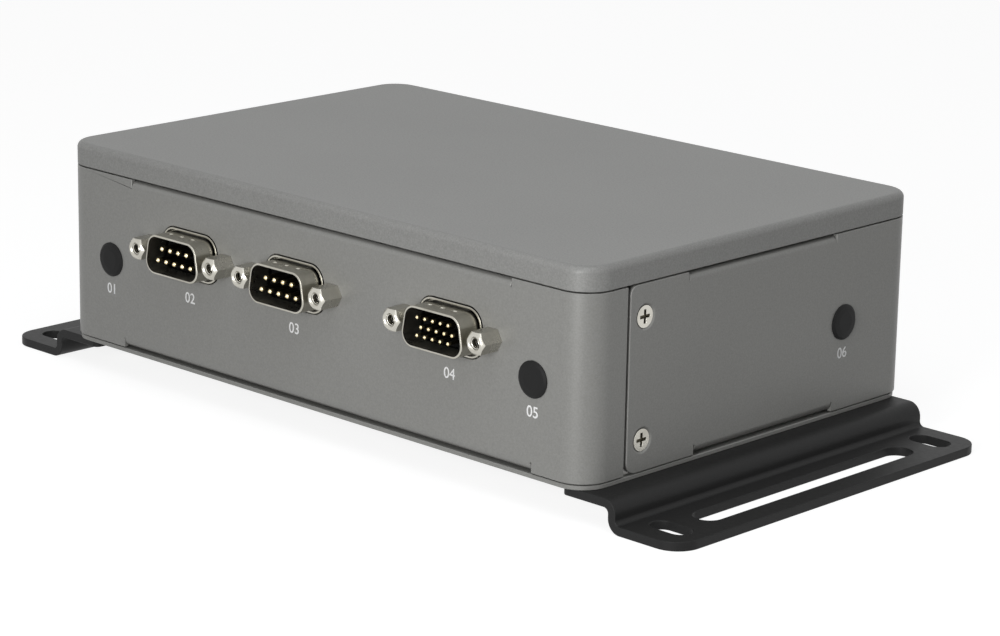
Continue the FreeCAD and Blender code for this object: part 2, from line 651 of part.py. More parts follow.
def d_shell(x):
    """Drawn metal shell: tube, a collar round its root with a groove between, flange behind the panel."""
    rim = FRONT - D_REACH
    lip = FRONT - D_COLLAR_PROUD
    seat = FRONT + SHEET
    back = seat + D_FLANGE_SHEET
    half_w = D_FLANGE[0] / 2
    half_h = D_FLANGE[1] / 2
    tube = d_prism(x, D_SHELL, rim, seat + D_FLANGE_SHEET / 2)
    tube = tube.makeFillet(D_SHELL * 0.45, [e for e in tube.Edges if e.BoundBox.YMax < rim + 0.01])
    collar = d_prism(x, D_SHELL + D_COLLAR, lip, seat + D_FLANGE_SHEET / 2)
    collar = collar.makeFillet(D_COLLAR_WALL * 0.45, [e for e in collar.Edges if e.BoundBox.YMax < lip + 0.01])
    collar = collar.cut(d_prism(x, D_SHELL + D_COLLAR - D_COLLAR_WALL, lip - 1, seat))
    flange = upright(x - half_w, x + half_w, seat, back, SOCKET_Z - half_h, SOCKET_Z + half_h, D_FLANGE_R)
    shell = fuse(tube, collar, flange)
    tools = [d_prism(x, 0, rim - 1, back + 1)]
    for side in LEFT_RIGHT:
        hole = V(x + side * D_SCREW_SPACING / 2, seat - 1, SOCKET_Z)
        tools.append(rod(hole, V(0, 1, 0), HEX_HOLE_R, D_FLANGE_SHEET + 2))
    top = SOCKET_Z + D_HEIGHT / 2 + D_SHELL
    sphere_r = (DIMPLE_R ** 2 + DIMPLE_DEPTH ** 2) / (2 * DIMPLE_DEPTH)
    for i in (-1, 0, 1):
        centre = V(x + i * DIMPLE_PITCH, rim + DIMPLE_BACK, top + sphere_r - DIMPLE_DEPTH)
        tools.append(Part.makeSphere(sphere_r, centre))
    return cut(shell, *tools)


def d_insulator(x, pins, pin_r):
    """Moulded body: a D block in the shell and a square block back to the board."""
    front_block = d_prism(x, -D_PRESS, FRONT + D_FACE, FRONT + SHEET + D_FLANGE_SHEET)
    seat = FRONT + SHEET + D_FLANGE_SHEET
    half_w = D_BLOCK[0] / 2
    half_h = D_BLOCK[1] / 2
    rear_block = upright(x - half_w, x + half_w, seat, FRONT + IO_BOARD_BACK,
                         SOCKET_Z - half_h, SOCKET_Z + half_h, 0.8)
    body = fuse(front_block, rear_block)
    holes = [rod(V(px, FRONT + D_FACE - 1, pz), V(0, 1, 0), pin_r + D_PRESS, IO_BOARD_BACK + 1)
             for px, pz in pins(x)]
    return cut(body, *holes)


def nine_pins(x):
    """Pin axes of a nine-way socket: 4 over 5."""
    return [(x + (i - (count - 1) / 2) * NINE_PITCH, SOCKET_Z + row * NINE_ROWS / 2)
            for row, count in ((1, 4), (-1, 5)) for i in range(count)]


def fifteen_pins(x):
    """Pin axes of a fifteen-way socket: three rows of 5, the middle one moved half a pitch."""
    return [(x + (i - 2 + shift) * FIFTEEN_PITCH, SOCKET_Z + row * FIFTEEN_ROWS)
            for row, shift in ((1, -0.25), (0, 0.25), (-1, -0.25)) for i in range(5)]


def d_pins(x, pins, pin_r):
    tip = FRONT - D_REACH + PIN_RECESS
    length = FRONT + IO_BOARD_BACK - tip
    profile = [(0, pin_r - PIN_TIP), (PIN_TIP, pin_r), (length, pin_r)]
    return group(turned(profile, V(px, tip, pz), V(0, 1, 0)) for px, pz in pins(x))


def jackscrew_places():
    return [V(x + side * D_SCREW_SPACING / 2, FRONT, SOCKET_Z)
            for x in SOCKET_X for side in LEFT_RIGHT]


def jackscrews():
    """Hexagonal posts with turned ends, a threaded mouth in front and a stud behind."""
    posts = []
    stud = SHEET + D_FLANGE_SHEET + HEX_NUT_HEIGHT
    corner = HEX_FLATS / math.sqrt(3)
    along, across = HEX_CHAMFER
    for place in jackscrew_places():
        post = hexagon(place, V(0, -1, 0), HEX_FLATS, HEX_LENGTH)
        turning = turned([(0, corner), (HEX_LENGTH - along, corner), (HEX_LENGTH, corner - across)],
                         place, V(0, -1, 0))
        post = post.common(turning)
        post = fuse(post, rod(place, V(0, 1, 0), HEX_STUD_R, stud))
        mouth = V(place.x, place.y - HEX_LENGTH, place.z)
        bore = turned([(0, HEX_BORE_R + HEX_MOUTH), (HEX_MOUTH, HEX_BORE_R), (HEX_BORE_DEPTH, HEX_BORE_R)],
                      mouth, V(0, 1, 0))
        posts.append(post.cut(bore))
    return group(posts)


def jackscrew_nuts():
    nuts = []
    for place in jackscrew_places():
        seat = V(place.x, FRONT + SHEET + D_FLANGE_SHEET, place.z)
        nut = hexagon(seat, V(0, 1, 0), HEX_NUT_FLATS, HEX_NUT_HEIGHT)
        nuts.append(nut.cut(rod(seat, V(0, 1, 0), HEX_STUD_R + THREAD_GAP, HEX_NUT_HEIGHT)))
    return group(nuts)


# ================================================================ antenna hole plugs
def hole_plug(face, inward):
    """Push-in plug: low domed head outside, hollow barbed stem through the sheet."""
    grip = SHEET
    end = grip + PLUG_BARB_LENGTH
    outside = [(-PLUG_HEAD, PLUG_R * 0.55), (-PLUG_HEAD * 0.8, PLUG_R * 0.86), (-PLUG_HEAD * 0.35, PLUG_R),
               (0, PLUG_R), (0, PLUG_HOLE_R - D_PRESS), (grip, PLUG_HOLE_R - D_PRESS),
               (grip, PLUG_HOLE_R + PLUG_BARB), (end, PLUG_HOLE_R - PLUG_BARB)]
    plug = turned(outside, face, inward)
    hollow = rod(face + inward * (grip * 0.3), inward, PLUG_HOLE_R - PLUG_WALL, end)
    return plug.cut(hollow)


# ================================================================ boards
def standoff_places():
    half = SIDE - BOARD_SIDE_GAP - STANDOFF_IN
    front = FRONT + BOARD_FRONT_GAP + STANDOFF_IN
    return [V(side * half, y, 0) for side in LEFT_RIGHT for y in (front, BOARD_REAR - STANDOFF_REAR_IN)]


def main_board():
    half = SIDE - BOARD_SIDE_GAP
    board = plate(-half, half, FRONT + BOARD_FRONT_GAP, BOARD_REAR, BOARD_Z - BOARD_SHEET, BOARD_Z,
                  BOARD_CORNER_R)
    holes = [rod(V(p.x, p.y, BOARD_Z - BOARD_SHEET - 1), V(0, 0, 1), SCREW_R + THREAD_GAP, BOARD_SHEET + 2)
             for p in standoff_places()]
    return cut(board, *holes)


def board_standoffs():
    posts = []
    height = BOARD_Z - BOARD_SHEET - FLOOR
    for place in standoff_places():
        foot = V(place.x, place.y, FLOOR)
        post = hexagon(foot, V(0, 0, 1), STANDOFF_FLATS, height)
        posts.append(post.cut(rod(foot, V(0, 0, 1), SCREW_R + THREAD_GAP, height)))
    return group(posts)


def standoff_screws():
    return group(flat_screw(V(p.x, p.y, UNDER), V(0, 0, 1), BASE_SHEET + STANDOFF_THREAD, 0)
                 for p in standoff_places())


def board_screws():
    length = BOARD_SHEET + STANDOFF_THREAD
    return group(pan_screw(V(p.x, p.y, BOARD_Z), V(0, 0, -1), length) for p in standoff_places())


def io_board():
    x0 = SERIAL_1_X - IO_BOARD_MARGIN
    x1 = DIGITAL_IO_X + IO_BOARD_MARGIN
    z0, z1 = IO_BOARD_HEIGHTS
    y = FRONT + IO_BOARD_BACK
    return upright(x0, x1, y, y + BOARD_SHEET, UNDER + z0, UNDER + z1, BOARD_CORNER_R)


def board_link():
    """Right-angle header that carries the upright socket board on the main board."""
    y0 = FRONT + IO_BOARD_BACK + BOARD_SHEET
    half = LINK_WIDTH / 2
    y1 = FRONT + BOARD_FRONT_GAP + LINK_DEPTH
    lower = block(-half, half, FRONT + BOARD_FRONT_GAP, y1, BOARD_Z, BOARD_Z + LINK_HEIGHT)
    nose = block(-half, half, y0, FRONT + BOARD_FRONT_GAP, BOARD_Z + 2, BOARD_Z + LINK_HEIGHT)
    rib = block(-half + 2, half - 2, y1 - 2, y1, BOARD_Z + LINK_HEIGHT - 2, BOARD_Z + LINK_HEIGHT)
    return cut(fuse(lower, nose), rib)


# ================================================================ on the main board
def processor():
    y = FRONT + PROCESSOR_BACK
    width, depth, height = PROCESSOR
    die_w, die_d, die_h = DIE
    package = plate(-width / 2, width / 2, y - depth / 2, y + depth / 2, BOARD_Z, BOARD_Z + height, 0.8)
    die = block(-die_w / 2, die_w / 2, y - die_d / 2, y + die_d / 2, BOARD_Z + height,
                BOARD_Z + height + die_h)
    return fuse(package, die)


def block_screw_places():
    y = FRONT + PROCESSOR_BACK
    return [V(sx * (BLOCK_FOOT[0] / 2 - BLOCK_SCREW_IN), y + sy * (BLOCK_FOOT[1] / 2 - BLOCK_SCREW_IN), 0)
            for sx in LEFT_RIGHT for sy in LEFT_RIGHT]


def block_bottom():
    return BOARD_Z + PROCESSOR[2] + DIE[2]


def block_top():
    return TOP - COVER_WALL - PAD_THICKNESS


def heat_block():
    """Aluminium block from the processor up to the cover, on a screwed foot with four pillars."""
    y = FRONT + PROCESSOR_BACK
    z = block_bottom()
    half_w = BLOCK_FOOT[0] / 2
    half_d = BLOCK_FOOT[1] / 2
    foot = plate(-half_w, half_w, y - half_d, y + half_d, z, z + BLOCK_FOOT[2], 2)
    core = plate(-BLOCK_CORE[0] / 2, BLOCK_CORE[0] / 2, y - BLOCK_CORE[1] / 2, y + BLOCK_CORE[1] / 2,
                 z + BLOCK_FOOT[2] / 2, block_top(), 1.5)
    pillars = [rod(V(p.x, p.y, BOARD_Z), V(0, 0, 1), NUT_R, z + BLOCK_FOOT[2] / 2 - BOARD_Z)
               for p in block_screw_places()]
    body = fuse(foot, core, *pillars)
    holes = [rod(V(p.x, p.y, BOARD_Z), V(0, 0, 1), SCREW_R + THREAD_GAP, z + BLOCK_FOOT[2] - BOARD_Z)
             for p in block_screw_places()]
    return cut(body, *holes)


def heat_block_screws():
    seat = block_bottom() + BLOCK_FOOT[2]
    length = seat - BOARD_Z
    return group(pan_screw(V(p.x, p.y, seat), V(0, 0, -1), length) for p in block_screw_places())


def thermal_pad():
    y = FRONT + PROCESSOR_BACK
    half_w = BLOCK_CORE[0] / 2
    half_d = BLOCK_CORE[1] / 2
    return plate(-half_w, half_w, y - half_d, y + half_d, block_top(), block_top() + PAD_THICKNESS, 1.5)


def memory_ends():
    """Front and rear end of the memory socket, between the board's edge and the data sockets."""
    return (FRONT + BOARD_FRONT_GAP + MEMORY_END_GAP, port_front() - USB_SIZE[1] - MEMORY_END_GAP)


def memory_socket():
    """Low socket with a slot for the card's edge."""
    width, height = MEMORY_SOCKET
    y0, y1 = memory_ends()
    x0 = MEMORY_X + MEMORY_BOARD[0] / 2 - width / 2
    body = block(x0, x0 + width, y0, y1, BOARD_Z, BOARD_Z + height)
    lift = BOARD_Z + MEMORY_LIFT
    slot = block(x0 - 1, x0 + width / 2, y0 + MEMORY_BOARD_IN, y1 - MEMORY_BOARD_IN,
                 lift, lift + MEMORY_BOARD[1])
    return body.cut(slot)


def memory_module():
    width, height = MEMORY_BOARD
    y0, y1 = memory_ends()
    y = (y0 + y1) / 2
    z = BOARD_Z + MEMORY_LIFT
    x0 = MEMORY_X - width / 2
    card = block(x0, x0 + width, y0 + MEMORY_BOARD_IN, y1 - MEMORY_BOARD_IN, z, z + height)
    chip_x = x0 + MEMORY_SOCKET[0]
    chips = []
    for i in range(4):
        cy = y + (i - 1.5) * MEMORY_CHIP_PITCH
        chips.append(block(chip_x, chip_x + MEMORY_CHIP[0], cy - MEMORY_CHIP[1] / 2,
                           cy + MEMORY_CHIP[1] / 2, z + height, z + height + MEMORY_CHIP[2]))
    return fuse(card, *chips)


def drive_socket():
    width, depth, height = DRIVE_SOCKET
    y0 = FRONT + DRIVE_BACK + DRIVE_BOARD[1] - depth / 2
    body = block(DRIVE_X - width / 2, DRIVE_X + width / 2, y0, y0 + depth, BOARD_Z, BOARD_Z + height)
    lift = BOARD_Z + DRIVE_LIFT
    slot = block(DRIVE_X - width / 2, DRIVE_X + width / 2, y0 - 1, y0 + depth / 2, lift,
                 lift + DRIVE_BOARD[2])
    return body.cut(slot)


def drive_post_place():
    return V(DRIVE_X, FRONT + DRIVE_BACK + DRIVE_POST_IN, BOARD_Z)


def drive_module():
    width, length, height = DRIVE_BOARD
    y0 = FRONT + DRIVE_BACK
    z = BOARD_Z + DRIVE_LIFT
    card = block(DRIVE_X - width / 2, DRIVE_X + width / 2, y0, y0 + length, z, z + height)
    chip_y = y0 + length / 2
    chip = block(DRIVE_X - DRIVE_CHIP[0] / 2, DRIVE_X + DRIVE_CHIP[0] / 2, chip_y - DRIVE_CHIP[1] / 2,
                 chip_y + DRIVE_CHIP[1] / 2, z + height, z + height + DRIVE_CHIP[2])
    place = drive_post_place()
    notch = rod(V(place.x, place.y, z - 1), V(0, 0, 1), SCREW_R + THREAD_GAP, height + 2)
    return fuse(card, chip).cut(notch)


def drive_post():
    place = drive_post_place()
    post = rod(place, V(0, 0, 1), DRIVE_POST_R, DRIVE_LIFT)
    return post.cut(rod(place, V(0, 0, 1), SCREW_R + THREAD_GAP, DRIVE_LIFT))


def drive_screw():
    place = drive_post_place()
    seat = V(place.x, place.y, BOARD_Z + DRIVE_LIFT + DRIVE_BOARD[2])
    return pan_screw(seat, V(0, 0, -1), DRIVE_LIFT + DRIVE_BOARD[2])


def cell_holder():
    place = V(CELL_X, REAR - CELL_REAR_IN, BOARD_Z)
    height = CELL_HOLDER_LIFT + CELL_THICKNESS * 0.75
    body = rod(place, V(0, 0, 1), CELL_HOLDER_R, height)
    pocket = rod(place + V(0, 0, CELL_HOLDER_LIFT), V(0, 0, 1), CELL_R + CELL_CLEAR, height)
    half = CELL_MOUTH / 2
    mouth = block(CELL_X - half, CELL_X + half, place.y - CELL_HOLDER_R - 1, place.y,
                  BOARD_Z + CELL_HOLDER_LIFT, BOARD_Z + height + 1)
    return cut(body, pocket, mouth)


def coin_cell():
    place = V(CELL_X, REAR - CELL_REAR_IN, BOARD_Z + CELL_HOLDER_LIFT)
    edge = 0.4
    return turned([(0, CELL_R - 4 * edge), (edge, CELL_R - edge), (2 * edge, CELL_R),
                   (CELL_THICKNESS - edge, CELL_R), (CELL_THICKNESS, CELL_R - edge)], place, V(0, 0, 1))


# ================================================================ rear sockets
def port_front():
    return REAR + PORT_PROUD


def lan_mouth_z():
    return BOARD_Z + PORT_SHEET + LAN_FLOOR + LAN_LATCH[1]


def lan_shield(x):
    """Folded tin box, open in front, round the moulded insert."""
    width, depth, height = LAN_SIZE
    y1 = port_front()
    outer = block(x - width / 2, x + width / 2, y1 - depth, y1, BOARD_Z, BOARD_Z + height)
    inner = block(x - width / 2 + PORT_SHEET, x + width / 2 - PORT_SHEET, y1 - depth + PORT_SHEET, y1 + 1,
                  BOARD_Z + PORT_SHEET, BOARD_Z + height - PORT_SHEET)
    return outer.cut(inner)


def lan_insert(x):
    """Moulded insert with the plug's mouth and its latch groove."""
    width, depth, height = LAN_SIZE
    y1 = port_front()
    gap = PORT_SHEET + D_PRESS
    body = block(x - width / 2 + gap, x + width / 2 - gap, y1 - depth + gap, y1 - 0.2, BOARD_Z + gap,
                 BOARD_Z + height - gap)
    z = lan_mouth_z()
    mouth = block(x - LAN_MOUTH[0] / 2, x + LAN_MOUTH[0] / 2, y1 - LAN_DEPTH, y1 + 1, z, z + LAN_MOUTH[1])
    latch = block(x - LAN_LATCH[0] / 2, x + LAN_LATCH[0] / 2, y1 - LAN_DEPTH, y1 + 1, z - LAN_LATCH[1], z)
    return cut(body, mouth, latch)


def usb_mouths(x):
    """Lower and upper mouth of a two-high socket as (low z, high z)."""
    middle = BOARD_Z + USB_SIZE[2] / 2
    return [(middle + end * USB_PITCH / 2 - USB_MOUTH[1] / 2, middle + end * USB_PITCH / 2 + USB_MOUTH[1] / 2)
            for end in LEFT_RIGHT]


def usb_shield(x):
    width, depth, height = USB_SIZE
    y1 = port_front()
    outer = block(x - width / 2, x + width / 2, y1 - depth, y1, BOARD_Z, BOARD_Z + height)
    tools = [block(x - USB_MOUTH[0] / 2, x + USB_MOUTH[0] / 2, y1 - USB_DEPTH, y1 + 1, z0, z1)
             for z0, z1 in usb_mouths(x)]
    rear_space = block(x - USB_MOUTH[0] / 2, x + USB_MOUTH[0] / 2, y1 - depth + PORT_SHEET, y1 - USB_DEPTH,
                       BOARD_Z + PORT_SHEET, BOARD_Z + height - PORT_SHEET)
    return cut(outer, rear_space, *tools)


def usb_insert(x):
    """Moulded body at the back with one tongue in each mouth."""
    width, depth, height = USB_SIZE
    y1 = port_front()
    gap = D_PRESS
    body = block(x - USB_MOUTH[0] / 2 + gap, x + USB_MOUTH[0] / 2 - gap, y1 - depth + PORT_SHEET + gap,
                 y1 - USB_DEPTH - gap, BOARD_Z + PORT_SHEET + gap, BOARD_Z + height - PORT_SHEET - gap)
    tongues = []
    for z0, z1 in usb_mouths(x):
        tongues.append(block(x - USB_TONGUE[0] / 2, x + USB_TONGUE[0] / 2, y1 - USB_DEPTH - gap, y1 - 1.2,
                             z1 - USB_TONGUE[1] - 0.6, z1 - 0.6))
    return fuse(body, *tongues)


def hdmi_prism(grow, y0, y1):
    """Outline with its two lower corners cut off, moved outwards by grow."""
    width, depth, height = HDMI_SIZE
    z0 = BOARD_Z + HDMI_LIFT - grow
    z1 = BOARD_Z + HDMI_LIFT + height + grow
    half = width / 2 + grow
    chamfer = HDMI_CHAMFER
    corners = [V(HDMI_X - half + chamfer, y0, z0), V(HDMI_X + half - chamfer, y0, z0),
               V(HDMI_X + half, y0, z0 + chamfer), V(HDMI_X + half, y0, z1), V(HDMI_X - half, y0, z1),
               V(HDMI_X - half, y0, z0 + chamfer)]
    return rounded_face(corners, 0.4).extrude(V(0, y1 - y0, 0))


def hdmi_shield():
    depth = HDMI_SIZE[1]
    y1 = port_front()
    outer = hdmi_prism(0, y1 - depth, y1)
    inner = hdmi_prism(-PORT_SHEET, y1 - depth + PORT_SHEET, y1 + 1)
    feet = []
    for side in LEFT_RIGHT:
        x = HDMI_X + side * HDMI_FOOT_SPACING / 2
        y0 = y1 - depth + 1
        feet.append(block(x - HDMI_FOOT[0] / 2, x + HDMI_FOOT[0] / 2, y0, y0 + HDMI_FOOT[1],
                          BOARD_Z, BOARD_Z + HDMI_LIFT + PORT_SHEET))
    return fuse(outer, *feet).cut(inner)


def hdmi_insert():
    y1 = port_front()
    back = y1 - HDMI_SIZE[1] + PORT_SHEET + D_PRESS
    body = hdmi_prism(-PORT_SHEET - D_PRESS, back, y1 - HDMI_DEPTH)
    middle = BOARD_Z + HDMI_LIFT + HDMI_SIZE[2] / 2 + 0.4
    tongue = block(HDMI_X - HDMI_TONGUE[0] / 2, HDMI_X + HDMI_TONGUE[0] / 2, back, y1 - 1.0,
                   middle - HDMI_TONGUE[1] / 2, middle + HDMI_TONGUE[1] / 2)
    return fuse(body, tongue)


def jack_axis(y):
    return V(JACK_X, y, BOARD_Z + JACK_HEIGHT)


def power_jack():
    """Moulded block on the board with a round barrel through the wall."""
    width, depth, height = JACK_SIZE
    y1 = REAR - SHEET - PORT_CLEAR
    body = upright(JACK_X - width / 2, JACK_X + width / 2, y1 - depth, y1, BOARD_Z, BOARD_Z + height, 0.8)
    front = port_front() + JACK_PROUD
    barrel = rod(jack_axis(y1 - 1), V(0, 1, 0), JACK_BARREL_R, front - y1 + 1)
    bore = rod(jack_axis(front - JACK_DEPTH), V(0, 1, 0), JACK_BORE_R, JACK_DEPTH + 1)
    socket = rod(jack_axis(front - JACK_DEPTH - JACK_END), V(0, 1, 0), JACK_PIN_R + D_PRESS, JACK_END + 1)
    return cut(fuse(body, barrel), bore, socket)


def power_jack_pin():
    start = jack_axis(port_front() + JACK_PROUD - JACK_DEPTH - JACK_END)
    length = JACK_DEPTH + JACK_END - JACK_PIN_IN
    return turned([(0, JACK_PIN_R), (length - JACK_PIN_TIP, JACK_PIN_R), (length, JACK_PIN_R - JACK_PIN_TIP)],
                  start, V(0, 1, 0))


def status_light():
    """Light pipe: round nose through the wall, foot block down to the board."""
    front = REAR + PORT_PROUD
    y0 = front - LIGHT_LENGTH
    axis = V(LIGHT_X, y0, BOARD_Z + LIGHT_HEIGHT)
    nose = turned([(0, LIGHT_R), (LIGHT_LENGTH - 0.4, LIGHT_R), (LIGHT_LENGTH, LIGHT_R - 0.5)],
                  axis, V(0, 1, 0))
    half = LIGHT_BASE / 2
    foot = block(LIGHT_X - half, LIGHT_X + half, y0 - half, y0 + half, BOARD_Z,
                 BOARD_Z + LIGHT_HEIGHT + half)
    return fuse(nose, foot)


# ================================================================ power button
def power_button():
    """Round cap through the rear wall, held by a flange behind it, with a short stem."""
    inside = REAR - SHEET - BUTTON_CLEAR
    start = V(BUTTON_X, inside - BUTTON_FLANGE_SHEET - BUTTON_STEM_LENGTH, BOARD_Z + BUTTON_HEIGHT)
    flange_at = BUTTON_STEM_LENGTH
    cap_at = flange_at + BUTTON_FLANGE_SHEET
    end = cap_at + BUTTON_CLEAR + SHEET + BUTTON_PROUD
    round_off = 0.5
    profile = [(0, BUTTON_STEM_R), (flange_at, BUTTON_STEM_R), (flange_at, BUTTON_R + BUTTON_FLANGE),
               (cap_at, BUTTON_R + BUTTON_FLANGE), (cap_at, BUTTON_R), (end - round_off, BUTTON_R),
               (end - 0.15, BUTTON_R - 0.2), (end, BUTTON_R - round_off)]
    return turned(profile, start, V(0, 1, 0))


def power_switch():
    """Tactile switch standing on the board, its plunger facing the button's stem."""
    width, depth, height = SWITCH_SIZE
    stem_end = REAR - SHEET - BUTTON_CLEAR - BUTTON_FLANGE_SHEET - BUTTON_STEM_LENGTH
    tip = stem_end - BUTTON_TRAVEL - BUTTON_CLEAR
    face = tip - SWITCH_PLUNGER
    body = block(BUTTON_X - width / 2, BUTTON_X + width / 2, face - depth, face, BOARD_Z, BOARD_Z + height)
    plunger = rod(V(BUTTON_X, face - 0.5, BOARD_Z + BUTTON_HEIGHT), V(0, 1, 0), SWITCH_PLUNGER_R,
                  SWITCH_PLUNGER + 0.5)
    return fuse(body, plunger)


# ================================================================ output
def all_nodes():
    front_height = UNDER + FRONT_PLUG_HEIGHT
    nodes = {
        "top_cover": top_cover(),
        "front_panel": front_panel(),
        "rear_shell": rear_shell(),
        "base_plate": base_plate(),
        "side_screws": side_screws(),
        "base_screws": base_screws(),
        "cover_screws": cover_screws(),
        "bracket_left": bracket(-1),
        "bracket_right": bracket(1),
        "bracket_screws": bracket_screws(),
        "clinch_nuts": clinch_nuts(),
        "hole_plug_left": hole_plug(V(FRONT_PLUG_LEFT_X, FRONT, front_height), V(0, 1, 0)),
        "hole_plug_right": hole_plug(V(FRONT_PLUG_RIGHT_X, FRONT, front_height), V(0, 1, 0)),
        "hole_plug_side": hole_plug(V(SIDE, FRONT + SIDE_PLUG_BACK, UNDER + SIDE_PLUG_HEIGHT), V(-1, 0, 0)),
        "jackscrews": jackscrews(),
        "jackscrew_nuts": jackscrew_nuts(),
        "io_board": io_board(),
        "board_link": board_link(),
        "main_board": main_board(),
        "board_standoffs": board_standoffs(),
        "standoff_screws": standoff_screws(),
        "board_screws": board_screws(),
        "processor": processor(),
        "heat_block": heat_block(),
        "heat_block_screws": heat_block_screws(),
        "thermal_pad": thermal_pad(),
        "memory_socket": memory_socket(),
        "memory_module": memory_module(),
        "drive_socket": drive_socket(),
        "drive_module": drive_module(),
        "drive_post": drive_post(),
        "drive_screw": drive_screw(),
        "cell_holder": cell_holder(),
        "coin_cell": coin_cell(),
        "hdmi_shield": hdmi_shield(),
        "hdmi_insert": hdmi_insert(),
        "power_jack": power_jack(),
        "power_jack_pin": power_jack_pin(),
        "status_light": status_light(),
        "power_button": power_button(),
        "power_switch": power_switch(),
    }
    sockets = [("serial_1", SERIAL_1_X, nine_pins, NINE_PIN_R), ("serial_2", SERIAL_2_X, nine_pins, NINE_PIN_R),
               ("digital_io", DIGITAL_IO_X, fifteen_pins, FIFTEEN_PIN_R)]
    for name, x, pins, pin_r in sockets:
        nodes[name + "_shell"] = d_shell(x)
        nodes[name + "_insulator"] = d_insulator(x, pins, pin_r)
        nodes[name + "_pins"] = d_pins(x, pins, pin_r)
    for i in range(2):
        nodes["lan_%d_shield" % (i + 1)] = lan_shield(LAN_X[i])
        nodes["lan_%d_insert" % (i + 1)] = lan_insert(LAN_X[i])
        nodes["usb_%d_shield" % (i + 1)] = usb_shield(USB_X[i])
        nodes["usb_%d_insert" % (i + 1)] = usb_insert(USB_X[i])
    return nodes


os.makedirs("parts", exist_ok=True)
for name, shape in all_nodes().items():
    shape.exportStep("parts/%s.step" % name)
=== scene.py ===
"""Looks of the fanless industrial computer: painted sheet metal, nickel sockets, contacts, numbers, light.

Metres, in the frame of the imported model: +X along the long side, +Y from the socket side to the rear, +Z up.
"""
import json
import math
import bmesh
import bpy
from mathutils import Matrix, Vector

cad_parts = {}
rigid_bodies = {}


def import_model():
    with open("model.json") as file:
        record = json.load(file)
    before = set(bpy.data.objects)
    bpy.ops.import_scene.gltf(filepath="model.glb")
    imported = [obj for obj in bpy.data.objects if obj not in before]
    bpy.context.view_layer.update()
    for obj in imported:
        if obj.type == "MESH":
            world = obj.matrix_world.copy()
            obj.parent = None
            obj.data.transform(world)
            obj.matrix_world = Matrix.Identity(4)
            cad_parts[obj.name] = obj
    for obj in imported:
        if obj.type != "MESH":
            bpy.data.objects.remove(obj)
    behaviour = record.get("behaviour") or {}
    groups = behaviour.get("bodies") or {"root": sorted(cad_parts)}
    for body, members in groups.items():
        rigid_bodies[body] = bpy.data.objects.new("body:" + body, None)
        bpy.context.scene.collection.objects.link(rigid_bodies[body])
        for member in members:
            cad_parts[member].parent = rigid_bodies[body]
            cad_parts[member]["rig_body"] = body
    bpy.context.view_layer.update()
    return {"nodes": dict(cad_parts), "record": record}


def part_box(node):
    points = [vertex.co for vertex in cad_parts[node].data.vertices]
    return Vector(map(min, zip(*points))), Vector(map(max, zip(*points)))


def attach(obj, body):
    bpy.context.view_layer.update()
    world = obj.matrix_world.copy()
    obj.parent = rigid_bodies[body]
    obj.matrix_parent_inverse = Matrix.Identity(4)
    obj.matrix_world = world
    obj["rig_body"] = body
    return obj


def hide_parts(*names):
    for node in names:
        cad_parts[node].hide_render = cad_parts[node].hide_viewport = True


MM = 0.001

# ---------------------------------------------------------------- finishes
METAL_EDGE_WIDTH = 0.12 * MM        # width of the bright edge, partly rubbed and partly a painted highlight
MOULDED_EDGE_WIDTH = 0.15 * MM      # width of the light edge, partly rubbed and partly a painted highlight
PAINT_RELIEF = (0.15, 0.02 * MM)  # strength and height of the grain
METAL_RELIEF = (0.06, 0.01 * MM)
MOULDED_RELIEF = (0.12, 0.02 * MM)

# ---------------------------------------------------------------- edges and small parts
SHEET_EDGE = 0.16 * MM        # round on the edges of painted sheet
HARDWARE_EDGE = 0.05 * MM     # round on turned parts
EDGE_SEGMENTS = 2
MERGE = 0.001 * MM
FLAT_ANGLE = math.radians(0.2)  # faces nearer than this to one plane are joined
BEND_ANGLE = math.radians(33)   # edges steeper than this are rounded and stay crisp

THREAD_RADIUS = 1.25 * MM     # jackscrew bores
THREAD_PITCH = 0.64 * MM
THREAD_DEPTH = 0.16 * MM
THREAD_TURNS = 6.0
THREAD_START = 0.3 * MM       # below the post's face
THREAD_SIDES = 4
THREAD_STEPS = 24             # to a turn
BORE_REACH = 1.35 * MM        # from a post's axis, its bore and no more
BORE_LEAN = 0.3               # share of Y in a bore wall's normal, at most
RECESS_START = 0.02 * MM      # cross recess, below the rounded rim of the head

PIN_SHADE_START = 0.25 * MM        # painted shade on the socket pins, for the shadow inside the shell, starts this far behind the tip
PIN_SHADE_FULL = 1.4 * MM           # and is full from here
TUBE_SHADE_START = 0.9 * MM        # painted shade on the socket tubes, for the shadow round their roots, starts this far in front of the panel
TUBE_SHADE_FULL = 0.1 * MM          # and is full this far behind it

LAN_CONTACTS = {"Count": 8.0, "Pitch": 1.02 * MM, "Width": 0.45 * MM, "Thickness": 0.25 * MM,
                "Length": 8.0 * MM, "Slope": 2.6 * MM}
LAN_MOUTH_TOP = 11.98 * MM    # above the insert's foot
LAN_CONTACT_DROP = 0.35 * MM  # below the mouth's top
LAN_CONTACT_BACK = 1.5 * MM   # behind the insert's face
USB_CONTACTS = {"Count": 4.0, "Pitch": 2.3 * MM, "Width": 1.0 * MM, "Thickness": 0.12 * MM,
                "Length": 8.0 * MM, "Slope": 0.0}
USB_PITCH = 7.9 * MM          # lower mouth to upper mouth
USB_TONGUE_UNDER = 0.05 * MM  # tongue's underside above its mouth's middle
USB_CONTACT_BACK = 0.8 * MM
HDMI_CONTACTS = {"Pitch": 1.0 * MM, "Width": 0.4 * MM, "Thickness": 0.08 * MM,
                 "Length": 5.5 * MM, "Slope": 0.0}
HDMI_ROWS = (("upper", 1, 10.0), ("lower", -1, 9.0))  # name, side of the tongue, contacts
HDMI_TONGUE_RISE = 0.4 * MM   # tongue's middle above the insert's
HDMI_TONGUE_HALF = 0.52 * MM
HDMI_CONTACT_BACK = 0.4 * MM

